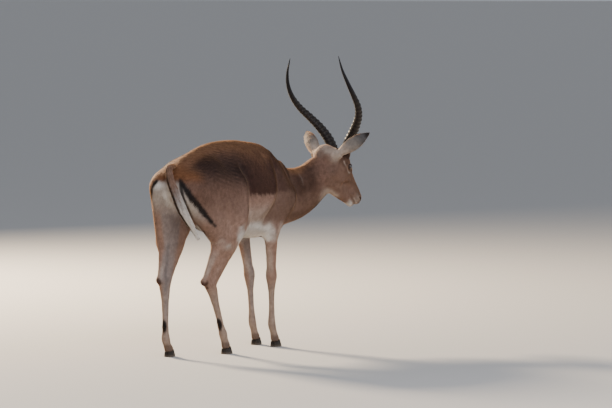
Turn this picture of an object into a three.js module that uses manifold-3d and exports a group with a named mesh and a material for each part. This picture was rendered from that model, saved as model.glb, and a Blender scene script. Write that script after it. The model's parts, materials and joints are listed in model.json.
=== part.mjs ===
// A male impala, life size, standing with its right hind leg forward and its head lowered and turned
// a little to its right. Millimetres, +X towards the animal's front, +Y to its left, +Z up.
//
// The flesh is one smooth distance field: tubes that follow the spine and the limbs, and muscles that
// melt into them. The field is turned into a closed surface, thinned to an even number of faces, and
// parted with thin cuts into trunk, neck, head, tail and legs. Horns, ears, eyes and hooves are lofts.
import * as THREE from "three";
import { edgeTable, triTable } from "three/addons/objects/MarchingCubes.js";
import { mergeVertices } from "three/addons/utils/BufferGeometryUtils.js";
import Module from "manifold-3d";

const wasm = await Module();
wasm.setup();

// ---------------------------------------------------------------- driving dimensions
const WITHERS = 884; // top of the shoulders above the ground
const STANCE = 64; // a hoof's distance from the middle plane
const HEAD_SCALE = 1.17; // of a head whose crown to nose is 285
const GAP = 0.35; // between two nodes that touch
const GRID = 6; // cell of the grid that samples the field
const FLESH_TRIANGLES = 4300;

const v3 = (x, y, z) => new THREE.Vector3(x, y, z);
const mix = THREE.MathUtils.lerp;

// ---------------------------------------------------------------- field of distance
const LATERAL = v3(0, 1, 0);

// A cone with elliptical sections and round ends. Each end is { p, wide, deep, taper }: wide lies
// along side, deep across it, and taper narrows the section towards its top.
function spindle(a, b, side = LATERAL) {
  const axis = b.p.clone().sub(a.p);
  const length = axis.length();
  axis.divideScalar(length);
  const u = side.clone().addScaledVector(axis, -side.dot(axis)).normalize();
  const v = axis.clone().cross(u).normalize();
  if (v.z < 0) v.negate();
  const middle = a.p.clone().lerp(b.p, 0.5);
  const reach = length / 2 + Math.max(a.wide, a.deep, b.wide, b.deep);
  const ta = a.taper ?? 0;
  const tb = b.taper ?? 0;
  return {
    middle,
    reach,
    distance(x, y, z) {
      const px = x - a.p.x;
      const py = y - a.p.y;
      const pz = z - a.p.z;
      const along = px * axis.x + py * axis.y + pz * axis.z;
      const t = Math.min(1, Math.max(0, along / length));
      const past = along - t * length;
      const wide = mix(a.wide, b.wide, t);
      const deep = mix(a.deep, b.deep, t);
      const qv = px * v.x + py * v.y + pz * v.z;
      const narrow = 1 + mix(ta, tb, t) * Math.max(-1, Math.min(1, qv / deep));
      const qu = (px * u.x + py * u.y + pz * u.z) * narrow;
      const cap = (wide + deep) / 2;
      const k0 = Math.hypot(qu / wide, qv / deep, past / cap);
      const k1 = Math.hypot(qu / wide ** 2, qv / deep ** 2, past / cap ** 2);
      return k1 < 1e-9 ? -Math.min(wide, deep) : (k0 * (k0 - 1)) / k1;
    },
  };
}

// A tube along a smooth curve through stations of the same kind, as a run of short spindles.
function tube(stations, steps = 6, side = LATERAL) {
  const curve = new THREE.CatmullRomCurve3(stations.map((s) => s.p), false, "centripetal");
  const sizes = ["wide", "deep", "taper"].map(
    (key) => new THREE.SplineCurve(stations.map((s, i) => new THREE.Vector2(i, s[key] ?? 0))),
  );
  const count = steps * (stations.length - 1);
  const at = (i) => {
    const t = i / count;
    const [wide, deep, taper] = sizes.map((s) => s.getPoint(t).y);
    return { p: curve.getPoint(t), wide, deep, taper };
  };
  return Array.from({ length: count }, (_, i) => spindle(at(i), at(i + 1), side));
}

// A muscle: a spindle given by its two ends.
const muscle = (p, wide, deep, q, wide2 = wide, deep2 = deep, side = LATERAL) => [
  spindle({ p, wide, deep }, { p: q, wide: wide2, deep: deep2 }, side),
];

function smoothMin(a, b, k) {
  const h = Math.max(k - Math.abs(a - b), 0) / k;
  return Math.min(a, b) - (h * h * k) / 4;
}

// forms is a list of [spindles, softness of the join with those before].
function fieldOf(forms) {
  return (x, y, z) => {
    let best = Infinity;
    for (const [spindles, soft] of forms) {
      let d = Infinity;
      for (const s of spindles) d = Math.min(d, s.distance(x, y, z));
      best = best === Infinity ? d : smoothMin(best, d, soft);
    }
    return best;
  };
}

// The forms that matter within reach of a point.
const formsNear = (forms, point, reach) =>
  forms
    .map(([spindles, soft]) => [spindles.filter((s) => s.middle.distanceTo(point) < s.reach + reach), soft])
    .filter(([spindles]) => spindles.length);

// ---------------------------------------------------------------- trunk
// Stations along the back: x from the tail's root, top and bottom of the trunk, and half its width.
const TRUNK = [
  { x: 62, top: 819, bottom: 665, half: 81, taper: 0.22 },
  { x: 150, top: 861, bottom: 612, half: 102, taper: 0.14 },
  { x: 300, top: 901, bottom: 545, half: 120, taper: 0.1 },
  { x: 450, top: 910, bottom: 505, half: 140, taper: 0.12 },
  { x: 570, top: 902, bottom: 492, half: 142, taper: 0.16 },
  { x: 690, top: WITHERS, bottom: 495, half: 118, taper: 0.24 },
  { x: 790, top: 830, bottom: 535, half: 86, taper: 0.25 },
];
const trunkStations = TRUNK.map((s) => ({
  p: v3(s.x, 0, (s.top + s.bottom) / 2),
  wide: s.half,
  deep: (s.top - s.bottom) / 2,
  taper: s.taper,
}));

// Neck: from inside the shoulders, forward and to the right, to the back of the skull.
const POLL = v3(1096, -132, 876);
const NECK = [
  { p: v3(760, 0, 688), wide: 84, deep: 136 },
  { p: v3(880, -22, 656), wide: 76, deep: 124 },
  { p: v3(975, -64, 675), wide: 70, deep: 109 },
  { p: v3(1060, -110, 739), wide: 64, deep: 95 },
];

// ---------------------------------------------------------------- head
// The head has its own frame: origin at the crown, x to the nose, y to its left, z out of the brow.
const HEAD_YAW = -9;
const HEAD_PITCH = 43.5;
const HEAD_ROLL = -4;
const rad = THREE.MathUtils.degToRad;
const headMatrix = new THREE.Matrix4()
  .makeRotationZ(rad(HEAD_YAW))
  .multiply(new THREE.Matrix4().makeRotationY(rad(HEAD_PITCH)))
  .multiply(new THREE.Matrix4().makeRotationX(rad(HEAD_ROLL)))
  .setPosition(POLL)
  .scale(v3(HEAD_SCALE, HEAD_SCALE, HEAD_SCALE));
const onHead = (x, y, z) => v3(x, y, z).applyMatrix4(headMatrix);
const headSide = v3(0, 1, 0).transformDirection(headMatrix);
const headStation = (x, z, wide, deep) => ({
  p: onHead(x, 0, z),
  wide: wide * HEAD_SCALE,
  deep: deep * HEAD_SCALE,
});
const headSpindle = (a, b) =>
  muscle(onHead(...a.at), a.wide * HEAD_SCALE, a.deep * HEAD_SCALE, onHead(...b.at),
    b.wide * HEAD_SCALE, b.deep * HEAD_SCALE, headSide);

function headForms() {
  const skull = tube([
    headStation(18, -42, 44, 44),
    headStation(70, -36, 49, 54),
    headStation(115, -30, 46, 48),
    headStation(160, -28, 34, 40),
    headStation(205, -31, 26, 35),
    headStation(245, -35, 24, 31),
    headStation(264, -40, 21, 25),
  ], 4, headSide);
  const jaw = tube([
    headStation(60, -94, 38, 45),
    headStation(120, -92, 31, 38),
    headStation(180, -82, 23, 29),
    headStation(246, -67, 17, 21),
  ], 4, headSide);
  const forms = [[skull, 10], [jaw, 16]];
  for (const s of [1, -1]) {
    // brow ridge over the eye, cheek muscle, zygomatic ridge and upper lip
    forms.push([headSpindle({ at: [98, s * 42, -8], wide: 17, deep: 13 },
      { at: [128, s * 39, -12], wide: 13, deep: 12 }), 14]);
    forms.push([headSpindle({ at: [66, s * 36, -72], wide: 17, deep: 34 },
      { at: [118, s * 33, -66], wide: 14, deep: 24 }), 14]);
    forms.push([headSpindle({ at: [90, s * 47, -38], wide: 11, deep: 10 },
      { at: [150, s * 33, -46], wide: 9, deep: 9 }), 12]);
    forms.push([headSpindle({ at: [222, s * 13, -50], wide: 14, deep: 17 },
      { at: [256, s * 10, -50], wide: 12, deep: 16 }), 8]);
    // bony root of the horn, and the muscle at the root of the ear
    forms.push([headSpindle({ at: [74, s * 30, -6], wide: 21, deep: 20 },
      { at: [66, s * 38, 18], wide: 20, deep: 20 }), 10]);
    forms.push([headSpindle({ at: [22, s * 34, -34], wide: 26, deep: 26 },
      { at: [22, s * 52, -27], wide: 20, deep: 20 }), 14]);
  }
  forms.push([headSpindle({ at: [262, 0, -26], wide: 17, deep: 12 },
    { at: [272, 0, -36], wide: 14, deep: 11 }), 8]);
  return forms;
}

// ---------------------------------------------------------------- legs
const along = (a, b, t, size) => ({ p: a.clone().lerp(b, t), ...size });

// Hind leg from its joints. The calf is deep and flat, the hock has a heel, the cannon is slim.
function hindLeg(j, heel) {
  const s = Math.sign(j.hock.y);
  const thigh = muscle(j.hip, 56, 108, j.stifle, 44, 70);
  const calf = tube([
    along(j.stifle, j.hock, 0, { wide: 44, deep: 70 }),
    along(j.stifle, j.hock, 0.3, { wide: 41, deep: 64 }),
    along(j.stifle, j.hock, 0.55, { wide: 33, deep: 48 }),
    along(j.stifle, j.hock, 0.8, { wide: 25, deep: 36 }),
    along(j.stifle, j.hock, 1, { wide: 22, deep: 33 }),
    along(j.hock, j.fetlock, 0.14, { wide: 19, deep: 27 }),
    along(j.hock, j.fetlock, 0.32, { wide: 15.5, deep: 19 }),
    along(j.hock, j.fetlock, 0.62, { wide: 13, deep: 15 }),
    along(j.hock, j.fetlock, 0.86, { wide: 13, deep: 14.5 }),
    along(j.hock, j.fetlock, 1, { wide: 17.5, deep: 19 }),
    along(j.fetlock, j.coronet, 0.5, { wide: 15, deep: 15.5 }),
    along(j.fetlock, j.coronet, 1, { wide: 18, deep: 17 }),
  ]);
  const heelBone = muscle(heel, 12, 13, j.hock, 14, 20);
  const tendonTop = j.stifle.clone().lerp(j.hock, 0.25).add(v3(-64, 0, -4));
  const tendon = muscle(tendonTop, 26, 30, heel, 9, 10);
  const buttock = muscle(v3(52, s * 66, 724), 57, 78, tendonTop, 41, 50);
  return [[thigh, 46], [calf, 34], [buttock, 40], [tendon, 26], [heelBone, 16]];
}

const hindLeft = {
  hip: v3(140, 68, 748),
  stifle: v3(184, 84, 566),
  hock: v3(55, STANCE + 2, 318),
  fetlock: v3(61, STANCE + 2, 80),
  coronet: v3(87, STANCE + 2, 40),
};
const hindRight = {
  hip: v3(168, -68, 748),
  stifle: v3(372, -92, 572),
  hock: v3(215, -STANCE, 308),
  fetlock: v3(304, -STANCE - 6, 92),
  coronet: v3(330, -STANCE - 6, 44),
};
const heelLeft = v3(14, STANCE + 2, 332);
const heelRight = v3(159, -STANCE, 319);

// Foreleg from its joints, with the shoulder and upper arm that lie on the chest.
function foreLeg(j) {
  const s = Math.sign(j.carpus.y);
  const blade = muscle(v3(690, s * 58, 815), 26, 46, v3(800, s * 80, 650), 34, 58);
  const arm = muscle(v3(792, s * 82, 645), 38, 62, j.elbow, 28, 46);
  const leg = tube([
    along(j.elbow, j.carpus, -0.1, { wide: 30, deep: 44 }),
    along(j.elbow, j.carpus, 0.12, { wide: 28, deep: 39 }),
    along(j.elbow, j.carpus, 0.45, { wide: 23, deep: 29 }),
    along(j.elbow, j.carpus, 0.8, { wide: 20, deep: 23 }),
    along(j.elbow, j.carpus, 1, { wide: 24, deep: 26 }),
    along(j.carpus, j.fetlock, 0.14, { wide: 20, deep: 21 }),
    along(j.carpus, j.fetlock, 0.35, { wide: 13.5, deep: 15.5 }),
    along(j.carpus, j.fetlock, 0.7, { wide: 12.5, deep: 14.5 }),
    along(j.carpus, j.fetlock, 1, { wide: 17, deep: 18.5 }),
    along(j.fetlock, j.coronet, 0.5, { wide: 14.5, deep: 15 }),
    along(j.fetlock, j.coronet, 1, { wide: 18, deep: 17 }),
  ]);
  const elbowPoint = muscle(j.elbow.clone().add(v3(-34, 0, 22)), 14, 16, j.elbow, 20, 26);
  return [[blade, 40], [arm, 40], [leg, 24], [elbowPoint, 20]];
}

const foreLeft = {
  elbow: v3(706, 78, 528),
  carpus: v3(752, STANCE + 2, 316),
  fetlock: v3(772, STANCE - 2, 98),
  coronet: v3(800, STANCE - 2, 42),
};
const foreRight = {
  elbow: v3(694, -80, 528),
  carpus: v3(716, -STANCE - 4, 316),
  fetlock: v3(730, -STANCE + 2, 98),
  coronet: v3(758, -STANCE + 2, 42),
};

// ---------------------------------------------------------------- all flesh
const belly = muscle(v3(330, 0, 575), 92, 48, v3(620, 0, 545), 96, 52);
const brisket = muscle(v3(690, 0, 560), 70, 62, v3(838, -4, 628), 58, 92);
const flesh = [
  [tube(trunkStations, 8), 40],
  [belly, 40],
  [brisket, 40],
  [tube(NECK, 6), 45],
  ...hindLeg(hindLeft, heelLeft),
  ...hindLeg(hindRight, heelRight),
  ...foreLeg(foreLeft),
  ...foreLeg(foreRight),
  ...headForms(),
];

// ---------------------------------------------------------------- surface of a field
// Marching cubes over the grid cells that lie near the surface. Vertices are shared along grid edges.
const CORNERS = [[0, 0, 0], [1, 0, 0], [1, 1, 0], [0, 1, 0], [0, 0, 1], [1, 0, 1], [1, 1, 1], [0, 1, 1]];
const EDGES = [[0, 1], [1, 2], [2, 3], [3, 0], [4, 5], [5, 6], [6, 7], [7, 4], [0, 4], [1, 5], [2, 6], [3, 7]];
const BLOCK = 8; // cells on a side of the blocks that are skipped when the surface is far

function surfaceOf(forms, low, high, step) {
  const n = [0, 1, 2].map((i) => Math.ceil((high[i] - low[i]) / step / BLOCK) * BLOCK);
  const index = (i, j, k) => (k * (n[1] + 1) + j) * (n[0] + 1) + i;
  const values = new Float32Array((n[0] + 1) * (n[1] + 1) * (n[2] + 1)).fill(NaN);
  const place = (i, j, k) => [low[0] + i * step, low[1] + j * step, low[2] + k * step];
  const valueAt = (field, i, j, k) => {
    const at = index(i, j, k);
    if (Number.isNaN(values[at])) values[at] = field(...place(i, j, k)) || 1e-4;
    return values[at];
  };
  const positions = [];
  const faces = [];
  const known = new Map();
  const vertexOn = (a, b, va, vb) => {
    const key = index(...a) * 8 + (b[0] - a[0]) + 2 * (b[1] - a[1]) + 4 * (b[2] - a[2]);
    if (!known.has(key)) {
      const t = Math.min(0.98, Math.max(0.02, va / (va - vb)));
      known.set(key, positions.length / 3);
      for (let c = 0; c < 3; c++) positions.push(low[c] + (a[c] + t * (b[c] - a[c])) * step);
    }
    return known.get(key);
  };
  const far = step * BLOCK * 1.5;
  for (let bk = 0; bk < n[2]; bk += BLOCK)
    for (let bj = 0; bj < n[1]; bj += BLOCK)
      for (let bi = 0; bi < n[0]; bi += BLOCK) {
        const h = BLOCK / 2;
        const centre = place(bi + h, bj + h, bk + h);
        const field = fieldOf(formsNear(forms, v3(...centre), 2.2 * far));
        if (!(Math.abs(field(...centre)) < far)) continue;
        for (let k = bk; k < bk + BLOCK; k++)
          for (let j = bj; j < bj + BLOCK; j++)
            for (let i = bi; i < bi + BLOCK; i++) {
              const cell = CORNERS.map((c) => [i + c[0], j + c[1], k + c[2]]);
              const v = cell.map((c) => valueAt(field, ...c));
              let kind = 0;
              v.forEach((x, c) => (kind |= x < 0 ? 1 << c : 0));
              if (!edgeTable[kind]) continue;
              const on = EDGES.map(([a, b], e) => {
                if (!(edgeTable[kind] & (1 << e))) return -1;
                const forward = cell[a][0] + cell[a][1] + cell[a][2] < cell[b][0] + cell[b][1] + cell[b][2];
                return forward
                  ? vertexOn(cell[a], cell[b], v[a], v[b])
                  : vertexOn(cell[b], cell[a], v[b], v[a]);
              });
              for (let t = kind * 16; triTable[t] >= 0; t += 3)
                faces.push([on[triTable[t]], on[triTable[t + 2]], on[triTable[t + 1]]]);
            }
      }
  return { positions, faces };
}

// ---------------------------------------------------------------- fewer faces
// Edges are collapsed, cheapest first, each to the point nearest the planes of the faces around it.
function planeQuadric(q, n, d, w) {
  const p = [n.x, n.y, n.z, d];
  let at = 0;
  for (let i = 0; i < 4; i++) for (let j = i; j < 4; j++) q[at++] += w * p[i] * p[j];
}

function quadricCost(q, x, y, z) {
  return (
    q[0] * x * x + 2 * q[1] * x * y + 2 * q[2] * x * z + 2 * q[3] * x +
    q[4] * y * y + 2 * q[5] * y * z + 2 * q[6] * y + q[7] * z * z + 2 * q[8] * z + q[9]
  );
}

function bestPoint(q, a, b) {
  const m = new THREE.Matrix3().set(q[0], q[1], q[2], q[1], q[4], q[5], q[2], q[5], q[7]);
  const size = (q[0] + q[4] + q[7]) / 3;
  const half = a.clone().lerp(b, 0.5);
  if (Math.abs(m.determinant()) > 1e-4 * size ** 3) {
    const point = v3(-q[3], -q[6], -q[8]).applyMatrix3(m.invert());
    if (point.distanceTo(half) < 1.5 * a.distanceTo(b)) return point;
  }
  return half;
}

// A heap of [cost, ...] entries, cheapest on top.
class Heap {
  items = [];
  push(entry) {
    let i = this.items.push(entry) - 1;
    while (i > 0) {
      const up = (i - 1) >> 1;
      if (this.items[up][0] <= this.items[i][0]) break;
      [this.items[up], this.items[i]] = [this.items[i], this.items[up]];
      i = up;
    }
  }
  pop() {
    const top = this.items[0];
    const last = this.items.pop();
    if (!this.items.length) return top;
    this.items[0] = last;
    for (let i = 0; ; ) {
      let small = i;
      for (const child of [2 * i + 1, 2 * i + 2])
        if (child < this.items.length && this.items[child][0] < this.items[small][0]) small = child;
      if (small === i) return top;
      [this.items[small], this.items[i]] = [this.items[i], this.items[small]];
      i = small;
    }
  }
}

function thinned({ positions, faces }, target, care) {
  const points = [];
  for (let i = 0; i < positions.length; i += 3) points.push(v3(...positions.slice(i, i + 3)));
  const around = points.map(() => new Set());
  const quadrics = points.map(() => new Float64Array(10));
  const normalOf = (f, swap = -1, point = null) => {
    const [a, b, c] = f.map((i) => (i === swap ? point : points[i]));
    return b.clone().sub(a).cross(c.clone().sub(a));
  };
  faces.forEach((f, at) => {
    const n = normalOf(f);
    const area = n.length() / 2;
    n.normalize();
    for (const i of f) {
      around[i].add(at);
      planeQuadric(quadrics[i], n, -n.dot(points[f[0]]), area * care(points[i]));
    }
  });
  const neighbours = (i) => {
    const found = new Set();
    for (const f of around[i]) for (const j of faces[f]) if (j !== i) found.add(j);
    return found;
  };
  const stamp = new Uint32Array(points.length);
  const heap = new Heap();
  const offer = (i, j) => {
    const q = quadrics[i].map((x, k) => x + quadrics[j][k]);
    const point = bestPoint(q, points[i], points[j]);
    const long = points[i].distanceToSquared(points[j]);
    const cost = quadricCost(q, point.x, point.y, point.z) + 1e-3 * long * long * care(point) ** 0.5;
    heap.push([cost, i, j, stamp[i], stamp[j], point, q]);
  };
  points.forEach((_, i) => neighbours(i).forEach((j) => i < j && offer(i, j)));
  let count = faces.length;
  while (count > target && heap.items.length) {
    const [, i, j, si, sj, point, q] = heap.pop();
    if (stamp[i] !== si || stamp[j] !== sj || !around[i].size || !around[j].size) continue;
    const shared = [...neighbours(i)].filter((k) => neighbours(j).has(k));
    if (shared.length !== 2) continue;
    const turns = (vertex, other) =>
      [...around[vertex]].some((f) => {
        if (faces[f].includes(other)) return false;
        const before = normalOf(faces[f]).normalize();
        return normalOf(faces[f], vertex, point).normalize().dot(before) < 0.35;
      });
    if (turns(i, j) || turns(j, i)) continue;
    for (const f of [...around[j]]) {
      if (faces[f].includes(i)) {
        for (const k of faces[f]) around[k].delete(f);
        faces[f] = null;
        count--;
      } else {
        faces[f] = faces[f].map((k) => (k === j ? i : k));
        around[i].add(f);
      }
    }
    around[j].clear();
    points[i] = point;
    quadrics[i] = q;
    stamp[i]++;
    stamp[j]++;
    neighbours(i).forEach((k) => offer(i, k));
  }
  return { points, faces: faces.filter(Boolean) };
}

// ---------------------------------------------------------------- solids and cuts
function geometryOf({ points, faces }) {
  const order = new Map();
  const list = [];
  const ids = faces.flat().map((i) => {
    if (!order.has(i)) {
      order.set(i, order.size);
      list.push(points[i].x, points[i].y, points[i].z);
    }
    return order.get(i);
  });
  const g = new THREE.BufferGeometry();
  g.setAttribute("position", new THREE.Float32BufferAttribute(list, 3));
  g.setIndex(ids);
  return g;
}

function toManifold(geometry) {
  const bare = new THREE.BufferGeometry();
  bare.setAttribute("position", geometry.getAttribute("position"));
  bare.setIndex(geometry.getIndex());
  const g = mergeVertices(bare, 1e-3);
  const vertProperties = new Float32Array(g.getAttribute("position").array);
  const triVerts = new Uint32Array(g.getIndex().array);
  return new wasm.Manifold(new wasm.Mesh({ numProp: 3, vertProperties, triVerts }));
}

function toGeometry(solid) {
  const mesh = solid.getMesh();
  const g = new THREE.BufferGeometry();
  g.setAttribute("position", new THREE.BufferAttribute(new Float32Array(mesh.vertProperties), 3));
  g.setIndex(new THREE.BufferAttribute(new Uint32Array(mesh.triVerts), 1));
  return g;
}

// What lies beyond every one of some planes. A plane is [point, direction]; grow moves them all back.
const FAR = 1500;
function beyond(planes, grow = 0) {
  return planes
    .map(([p, dir]) => {
      const z = v3(...dir).normalize();
      const g = new THREE.BoxGeometry(2 * FAR, 2 * FAR, FAR).translate(0, 0, FAR / 2 - grow);
      const turn = new THREE.Quaternion().setFromUnitVectors(v3(0, 0, 1), z);
      return toManifold(g.applyQuaternion(turn).translate(...p));
    })
    .reduce((a, b) => a.intersect(b));
}

// Parts what lies beyond the planes from the rest, and leaves GAP between the two.
const parted = (solid, planes) => ({
  off: solid.intersect(beyond(planes)),
  rest: solid.subtract(beyond(planes, GAP)),
});

// A closed body through rings of equally many points. An end is a fan round its centre or, on a
// crescent section, a strip from the outer half of the ring to the inner half.
function loft(rings, crescent = false) {
  const n = rings[0].length;
  const points = rings.flat();
  const faces = [];
  const at = (r, k) => r * n + (k % n);
  for (let r = 0; r + 1 < rings.length; r++)
    for (let k = 0; k < n; k++) {
      faces.push([at(r, k), at(r, k + 1), at(r + 1, k + 1)]);
      faces.push([at(r, k), at(r + 1, k + 1), at(r + 1, k)]);
    }
  for (const [r, first] of [[0, true], [rings.length - 1, false]]) {
    const rim = Array.from({ length: n }, (_, k) => at(r, k));
    if (crescent) {
      for (let k = 0; k < n / 2 - 1; k++) {
        const [a, b, c, d] = [rim[k], rim[k + 1], rim[n - 2 - k], rim[n - 1 - k]];
        faces.push(first ? [b, a, d] : [a, b, c], first ? [b, d, c] : [a, c, d]);
      }
      continue;
    }
    const centre = rim.reduce((sum, i) => sum.add(points[i]), v3(0, 0, 0)).divideScalar(n);
    points.push(centre);
    rim.forEach((i, k) => {
      const next = rim[(k + 1) % n];
      faces.push(first ? [next, i, points.length - 1] : [i, next, points.length - 1]);
    });
  }
  const solid = toManifold(geometryOf({ points, faces }));
  if (solid.volume() > 0) return solid;
  return toManifold(geometryOf({ points, faces: faces.map(([a, b, c]) => [a, c, b]) }));
}

// ---------------------------------------------------------------- tail
// From its root in the rump down and over to the right. wide is across, deep is from front to back.
const TAIL = [
  { p: v3(30, 0, 814), wide: 17, deep: 17 },
  { p: v3(-14, -1, 808), wide: 19, deep: 17 },
  { p: v3(-44, -22, 766), wide: 24, deep: 15 },
  { p: v3(-52, -56, 700), wide: 29, deep: 14 },
  { p: v3(-43, -85, 628), wide: 32, deep: 13 },
  { p: v3(-17, -111, 566), wide: 24, deep: 11 },
  { p: v3(-5, -127, 530), wide: 11, deep: 6 },
];
const TAIL_SIDES = 12;

function tail(grow = 0) {
  const curve = new THREE.CatmullRomCurve3(TAIL.map((s) => s.p), false, "centripetal");
  const count = 18;
  const rings = Array.from({ length: count + 1 }, (_, i) => {
    const t = i / count;
    const p = curve.getPoint(t);
    const z = curve.getTangent(t);
    const x = LATERAL.clone().addScaledVector(z, -z.y).normalize();
    const y = z.clone().cross(x);
    const at = Math.min(TAIL.length - 2, Math.floor(t * (TAIL.length - 1)));
    const f = t * (TAIL.length - 1) - at;
    const wide = mix(TAIL[at].wide, TAIL[at + 1].wide, f) + grow;
    const deep = mix(TAIL[at].deep, TAIL[at + 1].deep, f) + grow;
    if (grow && i === 0) p.addScaledVector(z, -grow);
    return Array.from({ length: TAIL_SIDES }, (_, k) => {
      const a = (2 * Math.PI * k) / TAIL_SIDES;
      return p.clone().addScaledVector(x, wide * Math.cos(a)).addScaledVector(y, deep * Math.sin(a));
    });
  });
  return loft(rings);
}

// ---------------------------------------------------------------- horns
// Where a horn's middle line runs on the left of the head, from its root to its tip, in head axes.
const HORN = [[74, 25, 29], [39, 48, 65], [1, 77, 90], [-40, 107, 105], [-87, 131, 112],
  [-137, 142, 120], [-187, 142, 135], [-233, 131, 159], [-274, 113, 197]];
const RIGHT_BOW = 13; // the right horn bows out a little more low down
const HORN_SIDES = 9;
const RIDGES = 13; // rings of the lower two thirds
const RIDGED = 0.62;
const hornRadius = (t) => 24 * (1 - t) ** 0.72 * (1 - 0.12 * t) + 2.2;

function horn(s, grow = 0, from = 0, to = 1) {
  const bow = (t) => (s < 0 ? RIGHT_BOW * Math.sin(1.6 * Math.PI * t) * (1 - t ** 3) : 0);
  const line = HORN.map(([x, y, z], i) => onHead(x, s * (y + bow(i / (HORN.length - 1))), z));
  const curve = new THREE.CatmullRomCurve3(line, false, "centripetal");
  const stops = [];
  for (let i = 0; i <= 2 * RIDGES; i++) stops.push([(RIDGED * i) / (2 * RIDGES), i % 2 ? 1 : -1]);
  for (let i = 1; i <= 8; i++) stops.push([RIDGED + ((1 - RIDGED) * i) / 8, 0]);
  const rings = stops
    .filter(([t]) => t >= from && t <= to)
    .map(([t, ridge]) => {
      const p = curve.getPointAt(t);
      const z = curve.getTangentAt(t);
      const x = headSide.clone().cross(z).normalize();
      const y = z.clone().cross(x);
      const r = hornRadius(t) + 1.7 * ridge * (1 - t) + grow;
      if (t === from && grow) p.addScaledVector(z, -grow);
      return Array.from({ length: HORN_SIDES }, (_, k) => {
        const a = (2 * Math.PI * k) / HORN_SIDES;
        return p.clone().addScaledVector(x, r * Math.cos(a)).addScaledVector(y, r * 0.88 * Math.sin(a));
      });
    });
  return loft(rings);
}

// ---------------------------------------------------------------- ears
// A leaf rolled into a cup: its root, the way it points and the way it opens.
const EAR_LENGTH = 158;
const EAR_THICK = 4.5;
const EARS = {
  left: { root: onHead(33, 60, -18), points: v3(0.5, 0.61, 0.6), opens: v3(0.83, 0.18, -0.52) },
  right: { root: onHead(18, -60, -30), points: v3(0.44, -0.7, 0.56), opens: v3(0.85, 0.53, -0.09) },
};
// Along the ear: place, half the width, and half the angle the section is rolled through.
const EAR_STATIONS = [[0, 15, 2.5], [0.1, 19, 2.2], [0.25, 26, 1.7], [0.42, 29.5, 1.35], [0.6, 27, 1.15],
  [0.76, 21, 1], [0.9, 11.5, 0.9], [1, 3, 0.8]];

function ear({ root, points, opens }) {
  const z = points.clone().normalize();
  const x = opens.clone().addScaledVector(z, -opens.dot(z)).normalize();
  const y = z.clone().cross(x);
  const arc = 8;
  const rings = EAR_STATIONS.map(([t, half, roll]) => {
    const radius = half / Math.min(1, Math.sin(Math.min(roll, Math.PI / 2)));
    const spot = root.clone().addScaledVector(z, EAR_LENGTH * t).addScaledVector(x, -6 * Math.sin(3 * t));
    const ring = [];
    const thick = EAR_THICK * (1 - 0.45 * t);
    for (const inner of [0, 1])
      for (let k = 0; k <= arc; k++) {
        const f = inner ? 1 - (2 * k) / arc : (2 * k) / arc - 1;
        const r = radius - inner * thick * (1 - 0.5 * f * f);
        const a = roll * f;
        ring.push(
          spot.clone().addScaledVector(y, r * Math.sin(a)).addScaledVector(x, radius - r * Math.cos(a) - half),
        );
      }
    return ring;
  });
  return loft(rings, true);
}

// ---------------------------------------------------------------- eyes
const EYE = { at: [112, 40, -15], radius: 17 };

function eyeball(s, grow = 0) {
  const g = new THREE.SphereGeometry(EYE.radius + grow, 14, 9);
  const [x, y, z] = EYE.at;
  return toManifold(g.applyMatrix4(new THREE.Matrix4().setPosition(onHead(x, s * y, z))));
}

// ---------------------------------------------------------------- hooves
const HOOF = { top: 36, heel: -17, toe: 36, half: 17.5, split: 1.6 };

// One claw: a ring is the outline at a height, pointed at the toe and straight along the split.
function claw(coronet, side, turn) {
  const profile = [[0, 1, 1], [4, 1.03, 1.01], [HOOF.top * 0.5, 0.96, 0.82], [HOOF.top, 0.9, 0.6]];
  const rings = profile.map(([z, wide, long]) => {
    const w = HOOF.half * wide;
    const toe = HOOF.toe * long;
    const outline = [[HOOF.heel, 0], [toe * 0.5, 0], [toe * 0.96, w * 0.16], [toe, w * 0.34],
      [toe * 0.8, w * 0.72], [toe * 0.35, w], [HOOF.heel * 0.4, w], [HOOF.heel, w * 0.62]];
    return outline.map(([x, y]) =>
      v3(x, side * (HOOF.split + y), Math.min(z, HOOF.top - GAP))
        .applyAxisAngle(v3(0, 0, 1), turn)
        .add(v3(coronet.x, coronet.y, 0)),
    );
  });
  return loft(rings);
}

// ---------------------------------------------------------------- flesh, whole
const LOW = [-110, -280, 14];
const HIGH = [1340, 180, 1000];
const care = (p) => (p.x > 1020 ? 9 : p.z < 500 ? 3 : 1);
const skinMesh = thinned(surfaceOf(flesh, LOW, HIGH, GRID), FLESH_TRIANGLES, care);
let rest = toManifold(geometryOf(skinMesh)).intersect(beyond([[[0, 0, HOOF.top], [0, 0, 1]]]));

// ---------------------------------------------------------------- parting
const nodes = {};
const takeOff = (name, planes) => {
  const { off, rest: left } = parted(rest, planes);
  nodes[name] = off;
  rest = left;
};

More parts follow.
